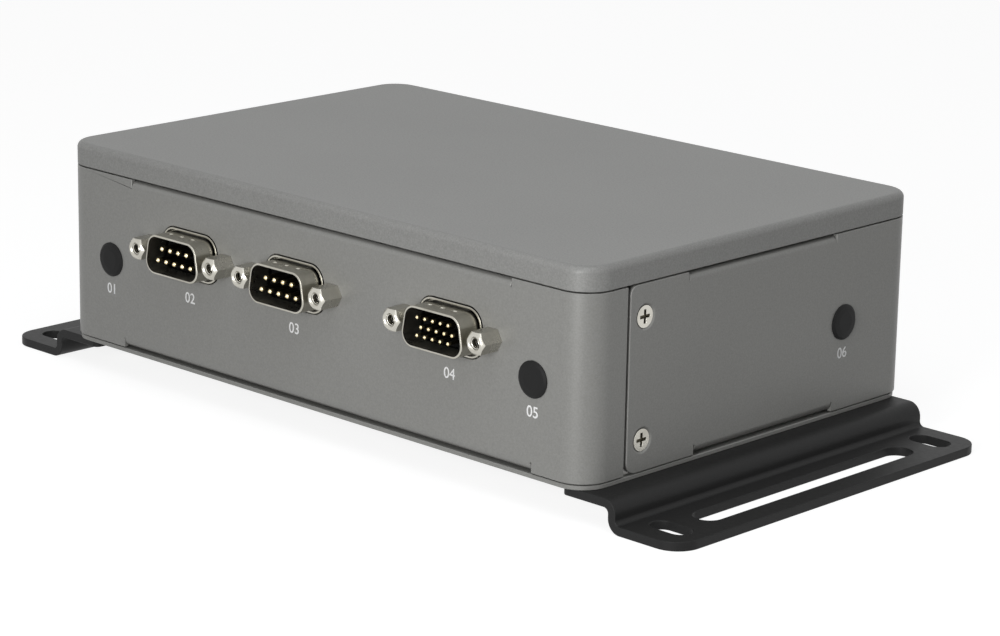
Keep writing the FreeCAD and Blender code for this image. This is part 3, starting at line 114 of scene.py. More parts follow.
INK_THICKNESS = 0.02 * MM
INK_SPREAD = 0.03 * MM        # strokes a little fatter than the font's
INK_LIFT = INK_THICKNESS * 0.3  # middle of the ink in front of the paint
DIGIT_HEIGHT = 2.4 * MM
DIGIT_FONT_RATIO = 0.7        # digit height over font size
SOCKET_LABEL_DROP = 10.2 * MM
PLUG_LABEL_DROP = 7.1 * MM

# ---------------------------------------------------------------- camera and studio
CAMERA_PLACE = Vector((0.51479, -0.53062, 0.21936))
CAMERA_AZIMUTH = math.radians(43.702)
CAMERA_ELEVATION = math.radians(15.205)
CAMERA_ROLL = math.radians(1.062)
CAMERA_LENS = 119.415
SENSOR_WIDTH = 36.0
FLOOR_REACH = 8.0
AIM = Vector((0, 0, 0.03))    # softboxes point here
FILL_LIGHT = 0.3              # from all round
FLOOR_BOUNCE = 0.22           # floor's grey, as the object sees it
FLOOR_SHADE = 0.32            # floor's grey under its glow, as the camera sees it
FLOOR_GLOW = 0.85

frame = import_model()
nodes = frame["nodes"]


# ================================================================ node helpers
def new_group(name, inputs, outputs):
    """Empty shader group with named inputs and outputs, and its two end nodes."""
    group = bpy.data.node_groups.new(name, "ShaderNodeTree")
    for label, kind, value in inputs:
        socket = group.interface.new_socket(name=label, in_out="INPUT", socket_type=kind)
        socket.default_value = value
    for label, kind in outputs:
        group.interface.new_socket(name=label, in_out="OUTPUT", socket_type=kind)
    return group, group.nodes.new("NodeGroupInput"), group.nodes.new("NodeGroupOutput")


def add(tree, kind, **settings):
    node = tree.nodes.new(kind)
    for key, value in settings.items():
        setattr(node, key, value)
    return node


def math_node(tree, operation, first, second=None, clamp=False):
    """Math node whose inputs are sockets or numbers. Returns its output."""
    node = add(tree, "ShaderNodeMath", operation=operation, use_clamp=clamp)
    for slot, value in zip(node.inputs, (first, second)):
        feed(tree, slot, value)
    return node.outputs[0]


def feed(tree, slot, value):
    if value is None:
        return
    if isinstance(value, bpy.types.NodeSocket):
        tree.links.new(value, slot)
    else:
        slot.default_value = value


def stretch(tree, value, low, high, out_low=0.0, out_high=1.0):
    node = add(tree, "ShaderNodeMapRange", interpolation_type="SMOOTHSTEP")
    feed(tree, node.inputs["Value"], value)
    for label, number in (("From Min", low), ("From Max", high), ("To Min", out_low), ("To Max", out_high)):
        feed(tree, node.inputs[label], number)
    return node.outputs["Result"]


def colour_slot(node, label):
    """Colour socket of a Mix node's A or B."""
    return [s for s in node.inputs if s.name == label and s.type == "RGBA"][0]


def mix_rgb(tree, factor, first, second, blend="MIX"):
    node = add(tree, "ShaderNodeMix", data_type="RGBA", blend_type=blend)
    feed(tree, node.inputs[0], factor)
    feed(tree, colour_slot(node, "A"), first)
    feed(tree, colour_slot(node, "B"), second)
    return [s for s in node.outputs if s.type == "RGBA"][0]


def noise(tree, scale, detail=3.0, roughness=0.5, vector=None):
    node = add(tree, "ShaderNodeTexNoise")
    feed(tree, node.inputs["Vector"], vector)
    feed(tree, node.inputs["Scale"], scale)
    node.inputs["Detail"].default_value = detail
    node.inputs["Roughness"].default_value = roughness
    return node.outputs["Fac"]


def grey(level, warm=0.0):
    """Linear grey, warmed by a share of its level."""
    return (level * (1 + 0.3 * warm), level, level * (1 - warm), 1.0)


# ================================================================ shared effects
def edge_wear_and_highlight_group():
    """Mask of the outer edges, broken up by grain: rounded normal against true normal. Edges lightened by it
    are partly rubbed and partly a painted highlight.
    """
    group, start, end = new_group(
        "edge_wear_and_highlight",
        [("Width", "NodeSocketFloat", 0.3 * MM), ("Amount", "NodeSocketFloat", 0.5),
         ("Break Scale", "NodeSocketFloat", 900.0)],
        [("Mask", "NodeSocketFloat")])
    bevel = add(group, "ShaderNodeBevel", samples=4)
    geometry = add(group, "ShaderNodeNewGeometry")
    place = add(group, "ShaderNodeTexCoord")
    group.links.new(start.outputs["Width"], bevel.inputs["Radius"])
    dot = add(group, "ShaderNodeVectorMath", operation="DOT_PRODUCT")
    group.links.new(bevel.outputs["Normal"], dot.inputs[0])
    group.links.new(geometry.outputs["Normal"], dot.inputs[1])
    turned = math_node(group, "SUBTRACT", 1.0, dot.outputs["Value"])
    edge = stretch(group, turned, 0.02, 0.25)
    grain = noise(group, start.outputs["Break Scale"], 4.0, 0.6, place.outputs["Object"])
    patches = stretch(group, grain, 0.35, 0.62)
    worn_and_lit = math_node(group, "MULTIPLY", edge, patches)
    group.links.new(math_node(group, "MULTIPLY", worn_and_lit, start.outputs["Amount"]), end.inputs["Mask"])
    return group


def powder_coat_group(edge_wear_and_highlight):
    """Fine metallic powder coat: flecks, slow tone drift, edges a little lighter, partly as rubbed paint and
    partly as a painted highlight.
    """
    group, start, end = new_group(
        "powder_coat",
        [("Color", "NodeSocketColor", grey(0.27)), ("Fleck", "NodeSocketFloat", 0.2),
         ("Grain Scale", "NodeSocketFloat", 2600.0), ("Roughness", "NodeSocketFloat", 0.5),
         ("Wear And Highlight", "NodeSocketFloat", 0.3), ("Worn Color", "NodeSocketColor", grey(0.4))],
        [("Color", "NodeSocketColor"), ("Roughness", "NodeSocketFloat"), ("Height", "NodeSocketFloat")])
    place = add(group, "ShaderNodeTexCoord").outputs["Object"]
    fine = noise(group, start.outputs["Grain Scale"], 2.0, 0.65, place)
    coarse = noise(group, math_node(group, "MULTIPLY", start.outputs["Grain Scale"], 0.34), 3.0, 0.6, place)
    drift = noise(group, 22.0, 3.0, 0.55, place)
    fleck = math_node(group, "SUBTRACT", fine, 0.5)
    clump = math_node(group, "SUBTRACT", coarse, 0.5)
    speck = math_node(group, "ADD", fleck, math_node(group, "MULTIPLY", clump, 0.3))
    speck = math_node(group, "MULTIPLY", speck, start.outputs["Fleck"])
    tone = math_node(group, "MULTIPLY", math_node(group, "SUBTRACT", drift, 0.5), 0.12)
    level = math_node(group, "ADD", 1.0, math_node(group, "ADD", speck, tone))
    shade = add(group, "ShaderNodeVectorMath", operation="SCALE")
    group.links.new(start.outputs["Color"], shade.inputs[0])
    group.links.new(level, shade.inputs["Scale"])
    # lighter edges: partly rubbed, partly a painted highlight
    worn_lit_edge = add(group, "ShaderNodeGroup", node_tree=edge_wear_and_highlight)
    group.links.new(start.outputs["Wear And Highlight"], worn_lit_edge.inputs["Amount"])
    colour = mix_rgb(group, worn_lit_edge.outputs["Mask"], shade.outputs[0], start.outputs["Worn Color"])
    group.links.new(colour, end.inputs["Color"])
    rough = math_node(group, "ADD", start.outputs["Roughness"], math_node(group, "MULTIPLY", clump, 0.15))
    group.links.new(rough, end.inputs["Roughness"])
    height = math_node(group, "ADD", fine, math_node(group, "MULTIPLY", coarse, 1.5))
    group.links.new(height, end.inputs["Height"])
    return group


def metal_group(edge_wear_and_highlight):
    """Plated or turned metal: fine rub marks, faint tarnish in patches, bright edges, partly rubbed and partly
    a painted highlight.
    """
    group, start, end = new_group(
        "plated_metal",
        [("Color", "NodeSocketColor", grey(0.6)), ("Tarnish", "NodeSocketColor", grey(0.4)),
         ("Tarnish Amount", "NodeSocketFloat", 0.35), ("Scale", "NodeSocketFloat", 700.0),
         ("Roughness", "NodeSocketFloat", 0.25), ("Bright Edge", "NodeSocketFloat", 0.4)],
        [("Color", "NodeSocketColor"), ("Roughness", "NodeSocketFloat"), ("Height", "NodeSocketFloat")])
    place = add(group, "ShaderNodeTexCoord").outputs["Object"]
    patch = noise(group, math_node(group, "MULTIPLY", start.outputs["Scale"], 0.3), 4.0, 0.6, place)
    rub = noise(group, math_node(group, "MULTIPLY", start.outputs["Scale"], 3.0), 2.0, 0.7, place)
    dull = math_node(group, "MULTIPLY", stretch(group, patch, 0.38, 0.68), start.outputs["Tarnish Amount"])
    colour = mix_rgb(group, dull, start.outputs["Color"], start.outputs["Tarnish"])
    # brighter edges: partly rubbed, partly a painted highlight
    worn_lit_edge = add(group, "ShaderNodeGroup", node_tree=edge_wear_and_highlight)
    worn_lit_edge.inputs["Width"].default_value = METAL_EDGE_WIDTH
    group.links.new(start.outputs["Bright Edge"], worn_lit_edge.inputs["Amount"])
    colour = mix_rgb(group, worn_lit_edge.outputs["Mask"], colour, grey(0.85, 0.03))
    group.links.new(colour, end.inputs["Color"])
    rough = math_node(group, "ADD", start.outputs["Roughness"], math_node(group, "MULTIPLY", dull, 0.3))
    marks = math_node(group, "MULTIPLY", math_node(group, "SUBTRACT", rub, 0.5), 0.08)
    rough = math_node(group, "ADD", rough, marks)
    group.links.new(rough, end.inputs["Roughness"])
    group.links.new(rub, end.inputs["Height"])
    return group


def moulded_group(edge_wear_and_highlight):
    """Moulded plastic, rubber or coated board: fine texture, slight tone change, soft lighter edges, partly
    rubbed and partly a painted highlight.
    """
    group, start, end = new_group(
        "moulded",
        [("Color", "NodeSocketColor", grey(0.03)), ("Scale", "NodeSocketFloat", 1800.0),
         ("Tone", "NodeSocketFloat", 0.25), ("Roughness", "NodeSocketFloat", 0.5),
         ("Edge Light", "NodeSocketFloat", 0.15)],
        [("Color", "NodeSocketColor"), ("Roughness", "NodeSocketFloat"), ("Height", "NodeSocketFloat")])
    place = add(group, "ShaderNodeTexCoord").outputs["Object"]
    texture = noise(group, start.outputs["Scale"], 3.0, 0.6, place)
    cloud = noise(group, math_node(group, "MULTIPLY", start.outputs["Scale"], 0.08), 3.0, 0.5, place)
    change = math_node(group, "MULTIPLY", math_node(group, "SUBTRACT", cloud, 0.5), start.outputs["Tone"])
    grain = math_node(group, "MULTIPLY", math_node(group, "SUBTRACT", texture, 0.5), 0.2)
    change = math_node(group, "ADD", change, grain)
    shade = add(group, "ShaderNodeVectorMath", operation="SCALE")
    group.links.new(start.outputs["Color"], shade.inputs[0])
    group.links.new(math_node(group, "ADD", 1.0, change), shade.inputs["Scale"])
    # lighter edges: partly rubbed, partly a painted highlight
    worn_lit_edge = add(group, "ShaderNodeGroup", node_tree=edge_wear_and_highlight)
    worn_lit_edge.inputs["Width"].default_value = MOULDED_EDGE_WIDTH
    group.links.new(start.outputs["Edge Light"], worn_lit_edge.inputs["Amount"])
    lighter = mix_rgb(group, 0.5, start.outputs["Color"], grey(0.5))
    colour = mix_rgb(group, worn_lit_edge.outputs["Mask"], shade.outputs[0], lighter)
    group.links.new(colour, end.inputs["Color"])
    rough = math_node(group, "ADD", start.outputs["Roughness"], math_node(group, "MULTIPLY", change, 0.3))
    group.links.new(rough, end.inputs["Roughness"])
    group.links.new(texture, end.inputs["Height"])
    return group


def painted_depth_shade_group():
    """Painted shade: colour darkened along +Y, from a start to an end, standing in for shadow inside a socket,
    but not on faces that look along Y.
    """
    group, start, end = new_group(
        "painted_depth_shade",
        [("Color", "NodeSocketColor", grey(0.5)), ("Start", "NodeSocketFloat", 0.0),
         ("End", "NodeSocketFloat", 1.0 * MM), ("Amount", "NodeSocketFloat", 0.9)],
        [("Color", "NodeSocketColor")])
    place = add(group, "ShaderNodeTexCoord")
    axes = add(group, "ShaderNodeSeparateXYZ")
    group.links.new(place.outputs["Object"], axes.inputs[0])
    # painted shade, growing along +Y
    deep = stretch(group, axes.outputs["Y"], start.outputs["Start"], start.outputs["End"])
    deep = math_node(group, "MULTIPLY", deep, start.outputs["Amount"])
    ways = add(group, "ShaderNodeSeparateXYZ")
    group.links.new(add(group, "ShaderNodeNewGeometry").outputs["Normal"], ways.inputs[0])
    sideways = stretch(group, math_node(group, "ABSOLUTE", ways.outputs["Y"]), 0.6, 0.9, 1.0, 0.0)
    deep = math_node(group, "MULTIPLY", deep, sideways)
    group.links.new(mix_rgb(group, deep, start.outputs["Color"], grey(0.0)), end.inputs["Color"])
    return group


EDGE_WEAR_AND_HIGHLIGHT = edge_wear_and_highlight_group()
POWDER = powder_coat_group(EDGE_WEAR_AND_HIGHLIGHT)
METAL = metal_group(EDGE_WEAR_AND_HIGHLIGHT)
MOULDED = moulded_group(EDGE_WEAR_AND_HIGHLIGHT)
PAINTED_DEPTH_SHADE = painted_depth_shade_group()


# ================================================================ materials
def material(name, group, values, relief, **shader_values):
    """Material whose colour, roughness and bump come from one of the shared groups."""
    result = bpy.data.materials.new(name)
    result.use_nodes = True
    tree = result.node_tree
    shader = tree.nodes["Principled BSDF"]
    finish = add(tree, "ShaderNodeGroup", node_tree=group)
    for label, value in values.items():
        finish.inputs[label].default_value = value
    bump = add(tree, "ShaderNodeBump")
    bump.inputs["Strength"].default_value, bump.inputs["Distance"].default_value = relief
    tree.links.new(finish.outputs["Height"], bump.inputs["Height"])
    tree.links.new(finish.outputs["Color"], shader.inputs["Base Color"])
    tree.links.new(finish.outputs["Roughness"], shader.inputs["Roughness"])
    tree.links.new(bump.outputs["Normal"], shader.inputs["Normal"])
    for label, value in shader_values.items():
        shader.inputs[label.replace("_", " ")].default_value = value
    return result


def paint(name, colour, fleck, worn_and_lit, **more):
    values = {"Color": colour, "Fleck": fleck, "Worn Color": grey(worn_and_lit)}
    values.update(more.pop("finish", {}))
    return material(name, POWDER, values, PAINT_RELIEF, **more)


def metal(name, level, warm, rough, **more):
    values = {"Color": grey(level, warm), "Tarnish": grey(level * 0.6, warm * 1.6), "Roughness": rough}
    values.update(more.pop("finish", {}))
    return material(name, METAL, values, METAL_RELIEF, Metallic=1.0, **more)


def plastic(name, colour, rough, **more):
    values = {"Color": colour, "Roughness": rough}
    values.update(more.pop("finish", {}))
    return material(name, MOULDED, values, MOULDED_RELIEF, **more)


def paint_shade_along(finish, start, end):
    """Paints shade into a finish: darkens it from one Y to another, further inwards, where shadow would fall.
    """
    tree = finish.node_tree
    shader = tree.nodes["Principled BSDF"]
    dark = add(tree, "ShaderNodeGroup", node_tree=PAINTED_DEPTH_SHADE)
    dark.inputs["Start"].default_value = start
    dark.inputs["End"].default_value = end
    tree.links.new(shader.inputs["Base Color"].links[0].from_socket, dark.inputs["Color"])
    tree.links.new(dark.outputs["Color"], shader.inputs["Base Color"])


# the lighter edge colour of these paints is partly rubbed paint, partly a painted highlight
COVER_PAINT = paint("cover_paint", (0.262, 0.262, 0.253, 1), 0.6, 0.42,
                    finish={"Roughness": 0.48, "Wear And Highlight": 0.2}, Metallic=0.12, Specular_IOR_Level=0.32)
CASE_PAINT = paint("case_paint", (0.251, 0.25, 0.238, 1), 0.4, 0.42,
                   finish={"Roughness": 0.4, "Wear And Highlight": 0.08}, Metallic=0.12, Specular_IOR_Level=0.4)
BRACKET_PAINT = paint("bracket_paint", grey(0.014), 0.6, 0.06,
                      finish={"Roughness": 0.5}, Specular_IOR_Level=0.2)
NICKEL = metal("nickel", 0.54, 0.1, 0.26)
SCREW_STEEL = metal("screw_steel", 0.58, 0.1, 0.26)
INNER_STEEL = metal("inner_steel", 0.5, 0.03, 0.35)
GOLD = metal("gold_contact", 0.5, 0.1, 0.2,
             finish={"Color": (0.95, 0.72, 0.33, 1), "Tarnish": (0.6, 0.4, 0.15, 1)})
SOCKET_PIN_WITH_PAINTED_SHADE = metal("socket_pin_with_painted_shade", 0.5, 0.1, 0.3,
                   finish={"Color": (0.93, 0.8, 0.5, 1), "Tarnish": (0.7, 0.5, 0.25, 1)})
# painted shade: the pins darken behind their tips, for the shadow inside the shell
pin_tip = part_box("serial_1_pins")[0].y
paint_shade_along(SOCKET_PIN_WITH_PAINTED_SHADE, pin_tip + PIN_SHADE_START, pin_tip + PIN_SHADE_FULL)
# painted shade: the socket tubes darken towards the panel, for the shadow in the groove at their root
SHELL_NICKEL_WITH_PAINTED_SHADE = metal("shell_nickel_with_painted_shade", 0.47, 0.12, 0.28)
panel_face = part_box("front_panel")[0].y
paint_shade_along(SHELL_NICKEL_WITH_PAINTED_SHADE, panel_face - TUBE_SHADE_START, panel_face + TUBE_SHADE_FULL)
# painted shade: dark steel for the shadow in the side screws' cross recesses and round their heads
RECESS_PAINTED_SHADE = metal("recess_painted_shade", 0.13, 0.25, 0.4)
# painted shade: near-black steel for the shadow inside the jackscrews' bores
BORE_PAINTED_SHADE = metal("bore_painted_shade", 0.05, 0.25, 0.45)
BLACK_PLASTIC = plastic("black_plastic", grey(0.004), 0.7, Specular_IOR_Level=0.06)
PLUG_RUBBER = plastic("plug_rubber", grey(0.008), 0.6, Specular_IOR_Level=0.2)
CHIP_BLACK = plastic("chip_black", grey(0.02), 0.45)
PAD_GREY = plastic("pad_grey", grey(0.22), 0.8)
IVORY = plastic("socket_ivory", (0.62, 0.58, 0.48, 1), 0.45)
BLOCK = metal("block_aluminium", 0.62, 0.0, 0.35)
BOARD = plastic("board_green", (0.012, 0.09, 0.035, 1), 0.35)
LIGHT_CLEAR = plastic("light_clear", (0.35, 0.45, 0.37, 1), 0.15)
INK = plastic("white_ink", grey(0.9), 0.5, finish={"Edge Light": 0.0})

SLOT_MATERIALS = {
    "cover_paint": COVER_PAINT, "case_paint": CASE_PAINT, "bracket_paint": BRACKET_PAINT,
    "nickel": NICKEL, "screw_steel": SCREW_STEEL, "inner_steel": INNER_STEEL, "gold_contact": GOLD,
    "black_plastic": BLACK_PLASTIC, "plug_rubber": PLUG_RUBBER, "board_green": BOARD,
    "chip_black": CHIP_BLACK, "block_aluminium": BLOCK, "pad_grey": PAD_GREY, "socket_ivory": IVORY,
    "light_clear": LIGHT_CLEAR}


def node_slots():
    """Material slot of each CAD node, as the record states it."""
    found = {}
    for part in frame["record"]["subparts"]:
        found[part["node"]] = part["material_slot"]
    return found


def finish_of(name):
    return SLOT_MATERIALS[NODE_SLOTS[name]]


# ================================================================ mesh helpers
def set_material(piece, finish):
    piece.data.materials.clear()
    piece.data.materials.append(finish)


def smooth(mesh):
    mesh.shade_smooth()
    mesh.set_sharp_from_angle(angle=BEND_ANGLE)


def merged_copy(node):
    """Closed copy of a CAD node's mesh, its flat faces joined up."""
    bm = bmesh.new()
    bm.from_mesh(nodes[node].data)
    bmesh.ops.remove_doubles(bm, verts=bm.verts, dist=MERGE)
    bmesh.ops.dissolve_limit(bm, angle_limit=FLAT_ANGLE, verts=bm.verts, edges=bm.edges)
    mesh = bpy.data.meshes.new(node + "_finished")
    bm.to_mesh(mesh)
    bm.free()
    return mesh


def edged(node, width):
    """Finished stand-in for a CAD node: same form, with its sharp edges rounded."""
    piece = bpy.data.objects.new(node + "_finished", merged_copy(node))
    bpy.context.scene.collection.objects.link(piece)
    bevel = piece.modifiers.new("edge_round", "BEVEL")
    bevel.width = width
    bevel.segments = EDGE_SEGMENTS
    bevel.limit_method = "ANGLE"
    bevel.angle_limit = BEND_ANGLE
    bevel.use_clamp_overlap = False
    bevel.miter_outer = "MITER_ARC"
    smooth(piece.data)
    even = piece.modifiers.new("even_faces", "WEIGHTED_NORMAL")
    even.mode = "FACE_AREA"
    even.keep_sharp = True
    even.weight = 100
    return plain_mesh(piece)


def plain_mesh(piece):
    """Turns a piece with modifiers into a plain mesh."""
    evaluated = piece.evaluated_get(bpy.context.evaluated_depsgraph_get())
    mesh = bpy.data.meshes.new_from_object(evaluated)
    piece.modifiers.clear()
    piece.data = mesh
    return piece


def second_finish(piece, finish, chosen):
    """Gives a second finish to the faces chosen by their middle and normal."""
    piece.data.materials.append(finish)
    for face in piece.data.polygons:
        if chosen(face.center, face.normal):
            face.material_index = len(piece.data.materials) - 1


def stand_in(piece, node):
    """Puts a finished piece in a CAD node's place."""
    set_material(piece, finish_of(node))
    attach(piece, nodes[node]["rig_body"])
    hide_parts(node)
    return piece


def islands(node):
    """Boxes of the separate solids of a CAD node, as (low, high), from left to right."""
    bm = bmesh.new()
    bm.from_mesh(nodes[node].data)
    bmesh.ops.remove_doubles(bm, verts=bm.verts, dist=MERGE)
    todo = set(bm.verts)
    boxes = []
    while todo:
        stack = [todo.pop()]
        low = Vector(stack[0].co)
        high = Vector(stack[0].co)
        while stack:
            vert = stack.pop()
            low = Vector(map(min, low, vert.co))
            high = Vector(map(max, high, vert.co))
            for edge in vert.link_edges:
                other = edge.other_vert(vert)
                if other in todo:
                    todo.remove(other)
                    stack.append(other)
        boxes.append((low, high))
    bm.free()
    return sorted(boxes, key=lambda box: (round(box[0].x, 5), round(box[0].z, 5)))


def across(place, axis):
    """Distance of a place from a line along Y."""
    return math.hypot(place.x - axis.x, place.z - axis.z)


NODE_SLOTS = node_slots()
for name, piece in nodes.items():
    set_material(piece, finish_of(name))
# the D sockets' pins and shells take finishes with painted shade
for name in ("serial_1", "serial_2", "digital_io"):
    set_material(nodes[name + "_pins"], SOCKET_PIN_WITH_PAINTED_SHADE)
    set_material(nodes[name + "_shell"], SHELL_NICKEL_WITH_PAINTED_SHADE)


# ================================================================ painted sheet
for name in ("top_cover", "front_panel", "rear_shell", "base_plate", "bracket_left", "bracket_right"):
    stand_in(edged(name, SHEET_EDGE), name)


# ================================================================ turned parts
for name in ("base_screws", "bracket_screws"):
    stand_in(edged(name, HARDWARE_EDGE), name)
posts = stand_in(edged("jackscrews", HARDWARE_EDGE), "jackscrews")
mouths = [(low + high) / 2 for low, high in islands("jackscrews")]
# bore walls of the jackscrews get painted shade
second_finish(posts, BORE_PAINTED_SHADE, lambda centre, way: abs(way.y) < BORE_LEAN
              and min(across(centre, mouth) for mouth in mouths) < BORE_REACH)
screws = stand_in(edged("side_screws", HARDWARE_EDGE), "side_screws")
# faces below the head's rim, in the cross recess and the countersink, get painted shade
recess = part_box("side_screws")[1].x - HARDWARE_EDGE - RECESS_START
second_finish(screws, RECESS_PAINTED_SHADE, lambda centre, way: abs(centre.x) < recess)


# ================================================================ jackscrew threads
def thread_tree():
    """Thread ridge inside each post's mouth, wound inwards along +Y."""
    tree = bpy.data.node_groups.new("thread_ridges", "GeometryNodeTree")
    tree.is_modifier = True
    face = tree.interface
    face.new_socket(name="Geometry", in_out="INPUT", socket_type="NodeSocketGeometry")
    for label, value in (("Radius", THREAD_RADIUS), ("Pitch", THREAD_PITCH), ("Depth", THREAD_DEPTH),
                         ("Turns", THREAD_TURNS)):
        face.new_socket(name=label, in_out="INPUT", socket_type="NodeSocketFloat").default_value = value
    face.new_socket(name="Material", in_out="INPUT", socket_type="NodeSocketMaterial")
    face.new_socket(name="Geometry", in_out="OUTPUT", socket_type="NodeSocketGeometry")
    start = tree.nodes.new("NodeGroupInput")
    end = tree.nodes.new("NodeGroupOutput")
    helix = tree.nodes.new("GeometryNodeCurveSpiral")
    helix.inputs["Resolution"].default_value = THREAD_STEPS
    tree.links.new(start.outputs["Turns"], helix.inputs["Rotations"])
    tree.links.new(start.outputs["Radius"], helix.inputs["Start Radius"])
    tree.links.new(start.outputs["Radius"], helix.inputs["End Radius"])
    tree.links.new(math_node(tree, "MULTIPLY", start.outputs["Turns"], start.outputs["Pitch"]),
                   helix.inputs["Height"])
    ridge = tree.nodes.new("GeometryNodeCurvePrimitiveCircle")
    ridge.inputs["Resolution"].default_value = THREAD_SIDES
    tree.links.new(start.outputs["Depth"], ridge.inputs["Radius"])
    sweep = tree.nodes.new("GeometryNodeCurveToMesh")
    sweep.inputs["Fill Caps"].default_value = True
    tree.links.new(helix.outputs["Curve"], sweep.inputs["Curve"])
    tree.links.new(ridge.outputs["Curve"], sweep.inputs["Profile Curve"])
    place = tree.nodes.new("GeometryNodeInstanceOnPoints")
    tree.links.new(start.outputs["Geometry"], place.inputs["Points"])
    tree.links.new(sweep.outputs["Mesh"], place.inputs["Instance"])
    place.inputs["Rotation"].default_value = (-math.pi / 2, 0, 0)
    finish_tree(tree, place.outputs["Instances"], start.outputs["Material"], end)
    return tree


def finish_tree(tree, geometry, finish, end):
    """Realize Instances and Set Material at the end of a tree."""
    real = tree.nodes.new("GeometryNodeRealizeInstances")
    dress = tree.nodes.new("GeometryNodeSetMaterial")
    tree.links.new(geometry, real.inputs["Geometry"])
    tree.links.new(real.outputs["Geometry"], dress.inputs["Geometry"])
    tree.links.new(finish, dress.inputs["Material"])
    tree.links.new(dress.outputs["Geometry"], end.inputs["Geometry"])


def grown(name, points, tree, values, node):
    """Plain mesh that a tree makes on a list of points, riding with a CAD node."""
    mesh = bpy.data.meshes.new(name)
    mesh.from_pydata([tuple(p) for p in points], [], [])
    piece = bpy.data.objects.new(name, mesh)
    bpy.context.scene.collection.objects.link(piece)
    modifier = piece.modifiers.new("build", "NODES")
    modifier.node_group = tree
    for item in tree.interface.items_tree:
        if item.item_type == "SOCKET" and item.in_out == "INPUT" and item.name in values:
            modifier[item.identifier] = values[item.name]
    plain_mesh(piece)
    smooth(piece.data)
    piece.data.validate()
    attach(piece, nodes[node]["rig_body"])
    return piece


def middle(node):
    low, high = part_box(node)
    return (low + high) / 2


THREAD = thread_tree()
thread_starts = [Vector((mouth.x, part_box("jackscrews")[0].y + THREAD_START, mouth.z)) for mouth in mouths]
grown("jackscrew_threads", thread_starts, THREAD,
      {"Radius": THREAD_RADIUS, "Pitch": THREAD_PITCH, "Depth": THREAD_DEPTH, "Turns": THREAD_TURNS,
       "Material": SCREW_STEEL}, "jackscrews")


# ================================================================ contacts in the rear sockets
def contact_tree():
    """Row of flat spring contacts at each point: along X by a pitch, each running towards -Y and sloping."""
    tree = bpy.data.node_groups.new("contact_row", "GeometryNodeTree")
    tree.is_modifier = True
    face = tree.interface
    face.new_socket(name="Geometry", in_out="INPUT", socket_type="NodeSocketGeometry")
    for label, value in LAN_CONTACTS.items():
        face.new_socket(name=label, in_out="INPUT", socket_type="NodeSocketFloat").default_value = value
    face.new_socket(name="Material", in_out="INPUT", socket_type="NodeSocketMaterial")
    face.new_socket(name="Geometry", in_out="OUTPUT", socket_type="NodeSocketGeometry")
    start = tree.nodes.new("NodeGroupInput")
    end = tree.nodes.new("NodeGroupOutput")
    tip = tree.nodes.new("ShaderNodeCombineXYZ")
    tree.links.new(math_node(tree, "MULTIPLY", start.outputs["Length"], -1.0), tip.inputs["Y"])
    tree.links.new(math_node(tree, "MULTIPLY", start.outputs["Slope"], -1.0), tip.inputs["Z"])
    run = tree.nodes.new("GeometryNodeCurvePrimitiveLine")
    tree.links.new(tip.outputs[0], run.inputs["End"])
    strip = tree.nodes.new("GeometryNodeCurvePrimitiveQuadrilateral")
    tree.links.new(start.outputs["Width"], strip.inputs["Width"])
    tree.links.new(start.outputs["Thickness"], strip.inputs["Height"])
    sweep = tree.nodes.new("GeometryNodeCurveToMesh")
    sweep.inputs["Fill Caps"].default_value = True
    tree.links.new(run.outputs["Curve"], sweep.inputs["Curve"])
    tree.links.new(strip.outputs["Curve"], sweep.inputs["Profile Curve"])
    step = tree.nodes.new("ShaderNodeCombineXYZ")
    tree.links.new(start.outputs["Pitch"], step.inputs["X"])
    first = tree.nodes.new("ShaderNodeCombineXYZ")
    half = math_node(tree, "MULTIPLY", math_node(tree, "SUBTRACT", start.outputs["Count"], 1.0), -0.5)
    tree.links.new(math_node(tree, "MULTIPLY", half, start.outputs["Pitch"]), first.inputs["X"])
    row = tree.nodes.new("GeometryNodeMeshLine")
    tree.links.new(start.outputs["Count"], row.inputs["Count"])
    tree.links.new(first.outputs[0], row.inputs["Start Location"])
    tree.links.new(step.outputs[0], row.inputs["Offset"])
    contacts = tree.nodes.new("GeometryNodeInstanceOnPoints")
    tree.links.new(row.outputs["Mesh"], contacts.inputs["Points"])
    tree.links.new(sweep.outputs["Mesh"], contacts.inputs["Instance"])
    place = tree.nodes.new("GeometryNodeInstanceOnPoints")
    tree.links.new(start.outputs["Geometry"], place.inputs["Points"])
    tree.links.new(contacts.outputs["Instances"], place.inputs["Instance"])
    finish_tree(tree, place.outputs["Instances"], start.outputs["Material"], end)
    return tree


CONTACTS = contact_tree()
for name in ("lan_1", "lan_2"):
    low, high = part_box(name + "_insert")
    top = low.z + LAN_MOUTH_TOP - LAN_CONTACT_DROP
    grown(name + "_contacts", [((low.x + high.x) / 2, high.y - LAN_CONTACT_BACK, top)], CONTACTS,
          {**LAN_CONTACTS, "Material": GOLD}, name + "_insert")
for name in ("usb_1", "usb_2"):
    centre = middle(name + "_insert")
    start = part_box(name + "_insert")[1].y - USB_CONTACT_BACK
    under = [(centre.x, start, centre.z + end * USB_PITCH / 2 + USB_TONGUE_UNDER) for end in (-1, 1)]
    grown(name + "_contacts", under, CONTACTS, {**USB_CONTACTS, "Material": GOLD}, name + "_insert")
centre = middle("hdmi_insert")
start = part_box("hdmi_insert")[1].y - HDMI_CONTACT_BACK
for side, rise, count in HDMI_ROWS:
    grown("hdmi_contacts_" + side, [(centre.x, start, centre.z + HDMI_TONGUE_RISE + rise * HDMI_TONGUE_HALF)],
          CONTACTS, {**HDMI_CONTACTS, "Count": count, "Material": GOLD}, "hdmi_insert")


